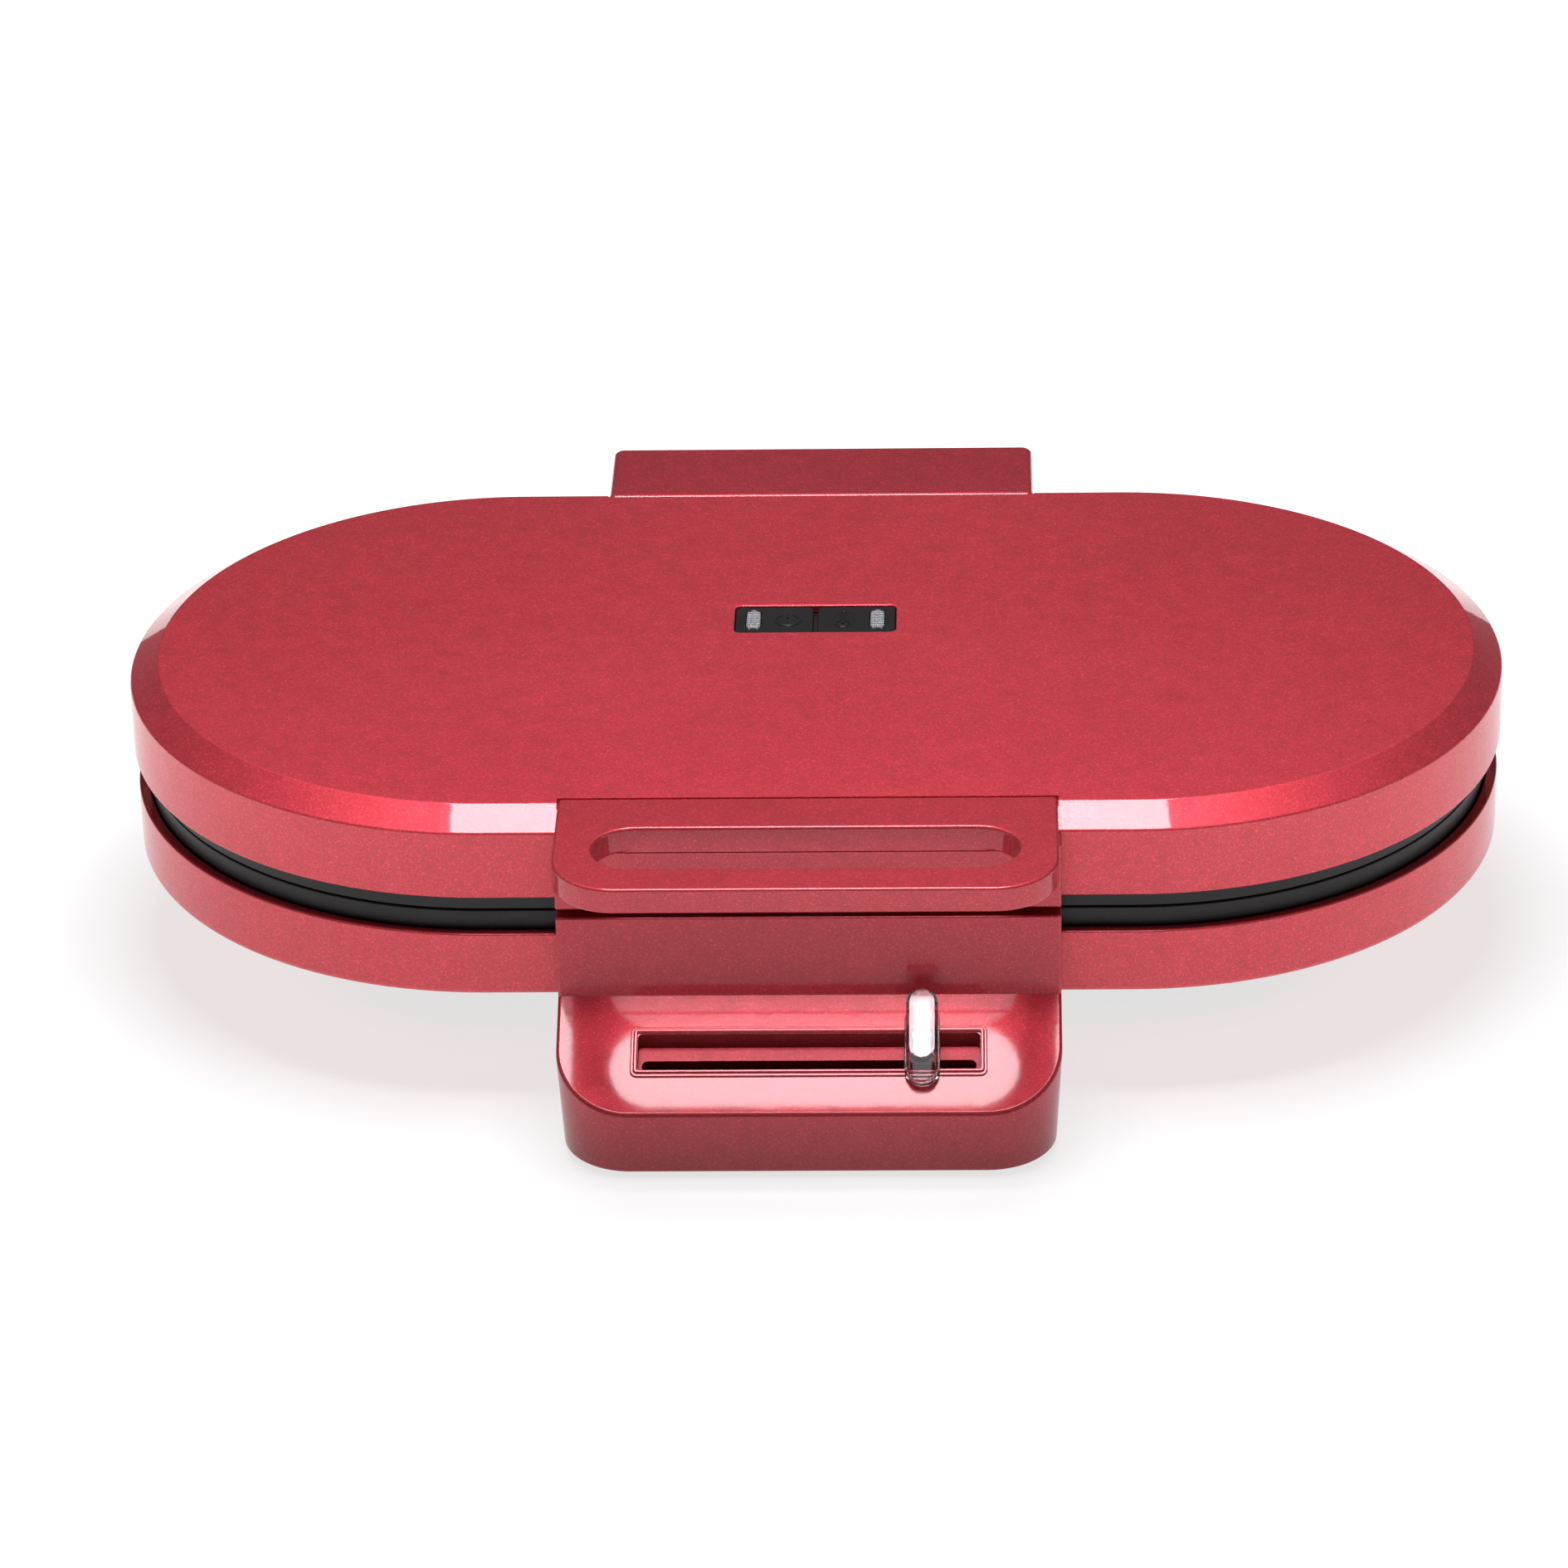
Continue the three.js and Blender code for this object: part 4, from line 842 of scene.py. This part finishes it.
def plate_face(verts, faces, face_z, direction, plate_inset, lip, wall, outward):
    """One skin of a baking plate: the flat face and its ring moulds. Returns the index of
    the outer loop's first point."""
    steps = 64
    post, rim = POST_RADIUS - wall, MOULD_RADIUS + wall
    depth = MOULD_DEPTH + wall
    outer = inset_loop(body_outline(), plate_inset)
    loops = [outer, *[hole(loop) for loop in mould_loops(rim + lip, steps)]]
    offsets = []
    for loop in loops:
        offsets.append(len(verts))
        verts.extend((x, y, face_z) for x, y in loop)
    faces += cap(loops, offsets, outward)
    profile = filleted(
        [
            (rim + lip, 0, 0),
            (rim, 0, lip * 0.8),
            (rim - 4.2, -depth, 6.5 if wall == 0 else 3.0),
            (post + 4.2, -depth, 6.5 if wall == 0 else 3.0),
            (post, 0, lip * 0.8),
            (post - lip, 0, 0),
        ],
        steps=7,
    )
    for number, (x, y) in enumerate((x, CENTRE_Y + s * MOULD_DY) for x in MOULD_XS for s in (-1, 1)):
        first = offsets[number + 1]
        previous = [first + steps - 1 - i for i in range(steps)]
        for radius, drop in profile[1:]:
            row = list(range(len(verts), len(verts) + steps))
            verts.extend((px, py, face_z + direction * drop) for px, py in circle(x, y, radius, steps))
            for i in range(steps):
                j = (i + 1) % steps
                quad = [previous[i], previous[j], row[j], row[i]]
                faces.append(quad if outward else quad[::-1])
            previous = row
        faces.append(previous if outward else previous[::-1])
    return offsets[0], len(outer)


def moulded_plate(name, node, body, face_z, direction):
    """Baking plate with eight ring moulds. Direction is 1 when its face looks up."""
    verts, faces = [], []
    lip = 1.1
    edge = 0.5
    up = direction > 0
    top, count = plate_face(verts, faces, face_z, direction, PLATE_INSET + edge, lip, 0, up)
    back, _ = plate_face(verts, faces, face_z - direction * 3, direction, PLATE_INSET + 3, 0.4, 2.5, not up)
    levels = [(PLATE_INSET + edge * (1 - math.sin(a)), edge * (1 - math.cos(a))) for a in (0.5, 1.05, 1.5708)]
    levels += [(PLATE_INSET, 10.6), (PLATE_INSET + 0.4, 11.0), (PLATE_INSET + 3, 11.0)]
    rows = [list(range(top, top + count))]
    for inset, drop in levels:
        rows.append(list(range(len(verts), len(verts) + count)))
        verts.extend((x, y, face_z - direction * drop) for x, y in inset_loop(body_outline(), inset))
    rows.append(list(range(back, back + count)))
    for upper, lower in zip(rows, rows[1:]):
        for i in range(count):
            j = (i + 1) % count
            quad = [lower[i], lower[j], upper[j], upper[i]]
            faces.append(quad if up else quad[::-1])
    made = object_from(name, verts, faces)
    piece(made, body, NONSTICK, "nonstick_plate", node, sharp=40)


# ---- Base ------------------------------------------------------------------------------------


def base_body():
    top, stand, pan = base_high.z, STAND_Z, base_low.z
    profile = filleted(
        [
            (BASE_INSET, top, 0.6),
            (WALL, top, 0.5),
            (WALL, stand + 1.1, 1.0),
            (PAN_INSET + 1.5, pan + 2, 2.0),
            (OPENING_INSET, pan + 2, 0.4),
            (OPENING_INSET, pan, 0.4),
            (PAN_INSET, pan, 3.0),
            (BASE_INSET, stand, 2.2),
        ][::-1],
        closed=True,
    )
    made = layered("base_body", [body_outline()], profile, closed=True)
    gland = middle("cord_gland")
    bore_radius, reach = GLAND_SLEEVE + GAP, 8
    profile = [(0, -reach), (bore_radius, -reach), (bore_radius, reach), (0, reach)]
    bore = turned("gland_bore", profile, gland.x, base_high.y, 32, "y", gland.z)
    combine(made, "DIFFERENCE", bore)
    piece(made, "base", RED, "pearl_red", "base_shell")


def base_envelope(name, gap):
    levels = [
        (PAN_INSET - gap, base_low.z - gap),
        (BASE_INSET - gap, STAND_Z - gap),
        (BASE_INSET - gap, base_high.z + 20),
    ]
    return layered(name, [body_outline()], levels)


def console():
    half = console_high.x
    front, back = console_low.y, console_high.y
    outline = rectangle(-half, half, front, back, CONSOLE_CORNER, 3.0, 20)
    lip = 1.0
    levels = box_levels(console_low.z, on_deck(0), 1.0, lip, 5, CONSOLE_DRAFT)
    made = layered("console", [outline], levels)
    side = half - APART
    upper = block("console_block", -side, side, BLOCK_FRONT, BLOCK_FRONT + 7.0, 30, console_high.z, 0.7)
    combine(made, "UNION", upper)
    wall_back = block("wall_back", -2 * half, 2 * half, lid_low.y + BASE_INSET - GAP, 0, STAND_Z, 200)
    half_length, half_depth = RECESS[0] / 2, RECESS[1] / 2
    y0, y1 = RECESS_Y - half_depth, RECESS_Y + half_depth
    recess = layered(
        "recess",
        [rectangle(-half_length, half_length, y0, y1, 1.2, 1.2)],
        [(0, on_deck(-RECESS_SINK)), (0, on_deck(6))],
    )
    chamber = layered(
        "chamber",
        [rectangle(-half_length - 4, half_length + 4, y0 - 1.2, y1 + 1.2, 1.2, 1.2)],
        [(0, floor_high.z - 0.2), (0, on_deck(-RECESS_SINK - 2.2))],
    )
    slit = layered(
        "slit",
        [stadium_x(half_length - 1 - SLIT_RADIUS, SLIT_RADIUS, 0, RECESS_Y, 12)],
        [(0, on_deck(-RECESS_SINK - 4)), (0, on_deck(-RECESS_SINK + 1))],
    )
    inset = floor_low.x + half - GAP
    corner = CONSOLE_CORNER - inset
    pocket = layered(
        "pocket",
        [rectangle(-half + inset, half - inset, front + inset, floor_high.y + GAP, corner, 1.0, 20)],
        [(0, console_low.z - 5), (0, floor_high.z + 0.3)],
    )
    combine(made, "DIFFERENCE", base_envelope("base_room", GAP), wall_back, recess, chamber, slit, pocket)
    piece(made, "base", CONSOLE_RED, "pearl_red", "front_console")
    # Faces sunk more than 0.7 mm below the deck inside the recess get the half-strength red: painted shade
    made.data.materials.append(RECESS_SHADE_RED)
    for face in made.data.polygons:
        x, y, z = (value / MM for value in face.center)
        slack, depth = 0.1, 0.7
        inside = abs(x) < half_length + slack and y0 - slack < y < y1 + slack
        if inside and deck_z(y) - z > depth:
            face.material_index = 1


def recess_bead():
    """Raised two-step frame round the slider's recess."""
    half_length, half_depth = RECESS[0] / 2, RECESS[1] / 2
    half_x, half_y = half_length + BEAD_WIDTH, half_depth + BEAD_WIDTH
    loop = rectangle(-half_x, half_x, RECESS_Y - half_y, RECESS_Y + half_y, 2.0, 2.0)
    profile = [(0.0, -0.6), (0.0, 0.12), (0.1, 0.3), (0.3, 0.4), (0.75, 0.4), (0.85, 0.42), (0.95, 0.55)]
    profile += [(1.05, 0.72), (1.2, 0.8), (1.6, 0.8), (1.78, 0.74), (1.9, 0.6), (1.96, 0.4), (1.96, -0.6)]
    levels = [(inset, on_deck(rise)) for inset, rise in profile]
    made = layered("recess_bead", [loop], levels, closed=True)
    piece(made, "base", CONSOLE_RED, "pearl_red", sharp=50)


def vented_cover():
    low, high = extent("bottom_cover")
    outline = inset_loop(body_outline(), lid_high.x - high.x)
    vents = [hole(stadium_y(3, 30, i * 9, CENTRE_Y)) for i in range(-2, 3)]
    rooms = []
    for number in range(1, 5):
        spot = middle(f"cover_screw_{number}")
        rooms.append(hole(circle(spot.x, spot.y, 1.8, 24)))
    made = layered("underside_cover", [outline, *vents, *rooms], box_levels(low.z, high.z, 0.5, 0.3))
    piece(made, "base", BLACK, "black_plastic", "bottom_cover")


def console_base():
    low, high = floor_low, floor_high
    corner = CONSOLE_CORNER - (low.x + console_high.x)
    outline = rectangle(low.x, high.x, low.y, high.y, corner, 1.0, 16)
    made = layered("console_base", [outline], box_levels(low.z, high.z, 0.4, 0.2))
    piece(made, "base", BLACK, "black_plastic", "console_floor")


def foot(node, pad_node):
    low, high = extent(node)
    spot = middle(node)
    wide = (high.x - low.x) / 2
    narrow = wide - 1.5
    pad = (extent(pad_node)[1].x - extent(pad_node)[0].x) / 2 + GAP
    profile = [(0, 2.1), (pad, 2.1), (pad, 1.6), (pad + 0.3, low.z + 0.05), (narrow - 0.8, low.z)]
    profile += [(narrow - 0.25, low.z + 0.2), (narrow, low.z + 0.8)]
    profile += [(wide - 0.15, high.z - 0.7), (wide - 0.4, high.z), (0, high.z)]
    made = turned(node + "_turned", profile, spot.x, spot.y, 56)
    piece(made, "base", BLACK, "black_plastic", node, sharp=50)


def sole(node):
    low, high = extent(node)
    spot = middle(node)
    radius = (high.x - low.x) / 2
    profile = [(0, 0.35), (1.6, 0.35), (1.9, 0.05), (2.9, 0.0), (3.2, 0.35), (3.9, 0.35), (4.2, 0.0)]
    profile += [(radius - 0.5, 0.0), (radius - 0.12, 0.15), (radius, 0.5), (radius, high.z), (0, high.z)]
    made = turned(node + "_turned", profile, spot.x, spot.y, 48)
    piece(made, "base", RUBBER, "rubber", node, sharp=50)


def cross_head(node, body):
    """Pan-head screw with a cross recess, its head down."""
    low, high = extent(node)
    spot = middle(node)
    head, shank = (high.x - low.x) / 2, SCREW_SHANK
    dome = [(0, low.z), (head * 0.55, low.z + 0.08), (head * 0.85, low.z + 0.32), (head, low.z + 0.85)]
    profile = dome + [(head, low.z + 1.5), (head - 0.1, low.z + 1.6), (shank, low.z + 1.6)]
    turns = 6
    for k in range(turns):
        z = low.z + 1.9 + (high.z - low.z - 2.6) * k / turns
        profile += [(shank, z), (shank - 0.3, z + 0.35)]
    profile += [(shank - 0.3, high.z - 0.5), (0, high.z)]
    made = turned(node + "_cross", profile, spot.x, spot.y, 32)
    arms = []
    for wide, deep in ((3.2, 0.75), (0.75, 3.2)):
        x0, x1 = spot.x - wide / 2, spot.x + wide / 2
        y0, y1 = spot.y - deep / 2, spot.y + deep / 2
        arms.append(block("arm", x0, x1, y0, y1, low.z - 1, low.z + 0.9))
    combine(made, "DIFFERENCE", *arms)
    piece(made, body, STEEL, "steel", node, sharp=35)


def gland():
    node = "cord_gland"
    low, high = extent(node)
    spot = middle(node)
    outer, bore, sleeve = (high.x - low.x) / 2, GLAND_BORE, GLAND_SLEEVE
    y0, y1 = low.y, high.y
    profile = [(bore, y0), (sleeve, y0), (sleeve, y1 - 2.2), (outer - 0.5, y1 - 2.2), (outer, y1 - 1.8)]
    profile += [(outer - 0.2, y1 - 1.0), (outer - 1.6, y1 - 0.4), (outer - 2.2, y1 - 0.4)]
    profile += [(outer - 2.6, y1), (bore + 0.7, y1), (bore, y1 - 0.6)]
    profile = [(r, y - spot.y) for r, y in profile]
    made = turned("gland", profile, spot.x, spot.y, 48, "y", spot.z)
    piece(made, "base", RUBBER, "rubber", node, sharp=50)


# ---- Slider ----------------------------------------------------------------------------------


def knob():
    cx = (knob_low.x + knob_high.x) / 2
    wide = knob_high.x - knob_low.x
    deep = knob_high.y - knob_low.y
    outline = stadium_y(wide, deep, cx, RECESS_Y, 28)
    lift, rise = KNOB_LIFT, KNOB_RISE
    top_edge = 1.1
    wall = 1.45
    ceiling = rise - 1.5
    hollow = [(wall + 1.4, ceiling), (wall + 0.35, ceiling - 0.3), (wall, ceiling - 1.0)]
    hollow += [(wall - 0.2, lift + 0.2), (wall - 0.4, lift)]
    flange = [(0.25, lift), (0.0, lift + 0.25), (0.0, lift + 1.35), (0.12, lift + 1.6)]
    flange += [(0.42, lift + 1.75)]
    levels = [(inset, on_deck(height)) for inset, height in hollow + flange]
    steps = 6
    for k in range(steps + 1):
        a = math.pi / 2 * k / steps
        height = rise - top_edge * (1 - math.sin(a))
        levels.append((0.5 + top_edge * (1 - math.cos(a)), on_deck(height)))
    made = layered("knob", [outline], levels)
    mark = turned(
        "mark",
        [(0, rise + 2), (0, rise - 0.35), (1.2, rise - 0.35), (1.5, rise - 0.05), (1.6, rise + 2)][::-1],
        cx,
        RECESS_Y - 5.6,
        32,
    )
    for vertex in mark.data.vertices:
        vertex.co.z += deck_z(vertex.co.y / MM) * MM
    combine(made, "DIFFERENCE", mark)
    piece(made, "slider", CLEAR, "clear_plastic", "slider_knob", sharp=40)


# ---- CAD pieces that stay --------------------------------------------------------------------


def keep(node, material, edge=0.0, sharp=30):
    """Gives a CAD node its finish and, where it shows, rounded edges."""
    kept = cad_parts[node]
    kept.data.materials.clear()
    kept.data.materials.append(material)
    if edge:
        weld = kept.modifiers.new("weld", "WELD")
        weld.merge_threshold = 1e-6
        rounding = kept.modifiers.new("edges", "BEVEL")
        rounding.width = edge * MM
        rounding.segments = 3
        rounding.limit_method = "ANGLE"
        rounding.angle_limit = math.radians(sharp)
        rounding.harden_normals = True


def kept_nodes():
    for node in ("hinge_arm_left", "hinge_arm_right", "hinge_bracket"):
        keep(node, BLACK, 0.5)
    for node in ("hinge_pin_left", "hinge_pin_right"):
        keep(node, STEEL, 0.3)
    keep("slider_stem", moulded_black("stem_plastic", 0.45, 0.35), 0.25)
    keep("slide_regulator", BLACK, 0.2)
    keep("lamp_board", circuit_board())
    glass = lamp_glass()
    keep("power_lamp", glass)
    keep("ready_lamp", glass)
    clay = ceramic()
    keep("thermostat", clay, 0.3)
    keep("terminal_block", clay, 0.4)
    tin = brushed_steel("tinned_sheet", 0.62, 0.38)
    for side in ("upper", "lower"):
        keep(side + "_reflector", tin)
        keep(side + "_heater", STEEL)
        keep(side + "_plate_screw_left", STEEL)
        keep(side + "_plate_screw_right", STEEL)
    keep("thermal_fuse", STEEL)
    for place in ("handle", "console"):
        keep(place + "_screw_left", STEEL)
        keep(place + "_screw_right", STEEL)


# ---- Studio ----------------------------------------------------------------------------------


def studio():
    verts, faces = [], []
    half, cells = 4000, 16
    for i in range(cells + 1):
        for j in range(cells + 1):
            verts.append((-half + 2 * half * i / cells, -half + 2 * half * j / cells, 0))
    for i in range(cells):
        for j in range(cells):
            a = i * (cells + 1) + j
            faces.append([a, a + cells + 1, a + cells + 2, a + 1])
    ground = object_from("studio_ground", verts, faces)
    ground.data.materials.append(floor_look())

    def softbox(name, spot, aim, size, power, colour=(1, 1, 1)):
        lamp = bpy.data.lights.new(name, "AREA")
        lamp.shape = "RECTANGLE"
        lamp.size, lamp.size_y = size
        lamp.energy = power
        lamp.color = colour
        made = bpy.data.objects.new(name, lamp)
        made.location = spot
        made.rotation_euler = (Vector(aim) - Vector(spot)).to_track_quat("-Z", "Y").to_euler()
        bpy.context.scene.collection.objects.link(made)

    softbox("overhead", (-0.02, -0.05, 1.0), (-0.02, -0.05, 0), (0.44, 0.5), 11.7, (1, 0.96, 1))
    softbox("rear_glow", (0, 1.1, 1.25), (0, 0, 0.1), (1.3, 0.5), 0.25)
    softbox("left_fill", (-1.9, -0.2, 0.9), (0, 0, 0.05), (1.0, 1.4), 1.2)
    softbox("right_fill", (1.9, -0.2, 0.9), (0, 0, 0.05), (1.0, 1.4), 1.2)

    world = bpy.data.worlds.new("studio")
    bpy.context.scene.world = world
    world.use_nodes = True
    background = world.node_tree.nodes["Background"]
    background.inputs["Color"].default_value = (1, 1, 1, 1)
    background.inputs["Strength"].default_value = 0.1


def camera():
    made = bpy.data.cameras.new("camera")
    made.lens = 145.8
    made.sensor_width = 36
    made.clip_end = 50
    pitch, yaw, roll = math.radians(27.69), math.radians(-1.954), math.radians(-1.253)
    forward = Vector((math.sin(yaw) * math.cos(pitch), math.cos(yaw) * math.cos(pitch), -math.sin(pitch)))
    right = Vector((math.cos(yaw), -math.sin(yaw), 0))
    up = right.cross(forward)
    rolled_right = right * math.cos(roll) + up * math.sin(roll)
    rolled_up = up * math.cos(roll) - right * math.sin(roll)
    seen = bpy.data.objects.new("camera", made)
    seen.matrix_world = Matrix.Translation((0.0468, -1.6501, 0.9152)) @ Matrix(
        (rolled_right, rolled_up, -forward)
    ).transposed().to_4x4()
    bpy.context.scene.collection.objects.link(seen)
    bpy.context.scene.camera = seen


camera()
studio()
bpy.context.scene.view_settings.view_transform = "Standard"
bpy.context.scene.view_settings.look = "None"

lid_top()
handle()
rear_cover()
indicator_window()
ribbed_lens("power_lens_ribbed", "power_lens")
ribbed_lens("ready_lens_ribbed", "ready_lens")
symbols()
moulded_plate("lower_moulds", "lower_plate", "base", plate_high.z, 1)
moulded_plate("upper_moulds", "upper_plate", "lid", upper_low.z, -1)
base_body()
console()
recess_bead()
vented_cover()
console_base()
for place in ("front_left", "front_right", "back_left", "back_right"):
    foot("leg_" + place, "leg_pad_" + place)
    sole("leg_pad_" + place)
sole("console_pad_left")
sole("console_pad_right")
for number in range(1, 5):
    cross_head(f"cover_screw_{number}", "base")
gland()
knob()
kept_nodes()
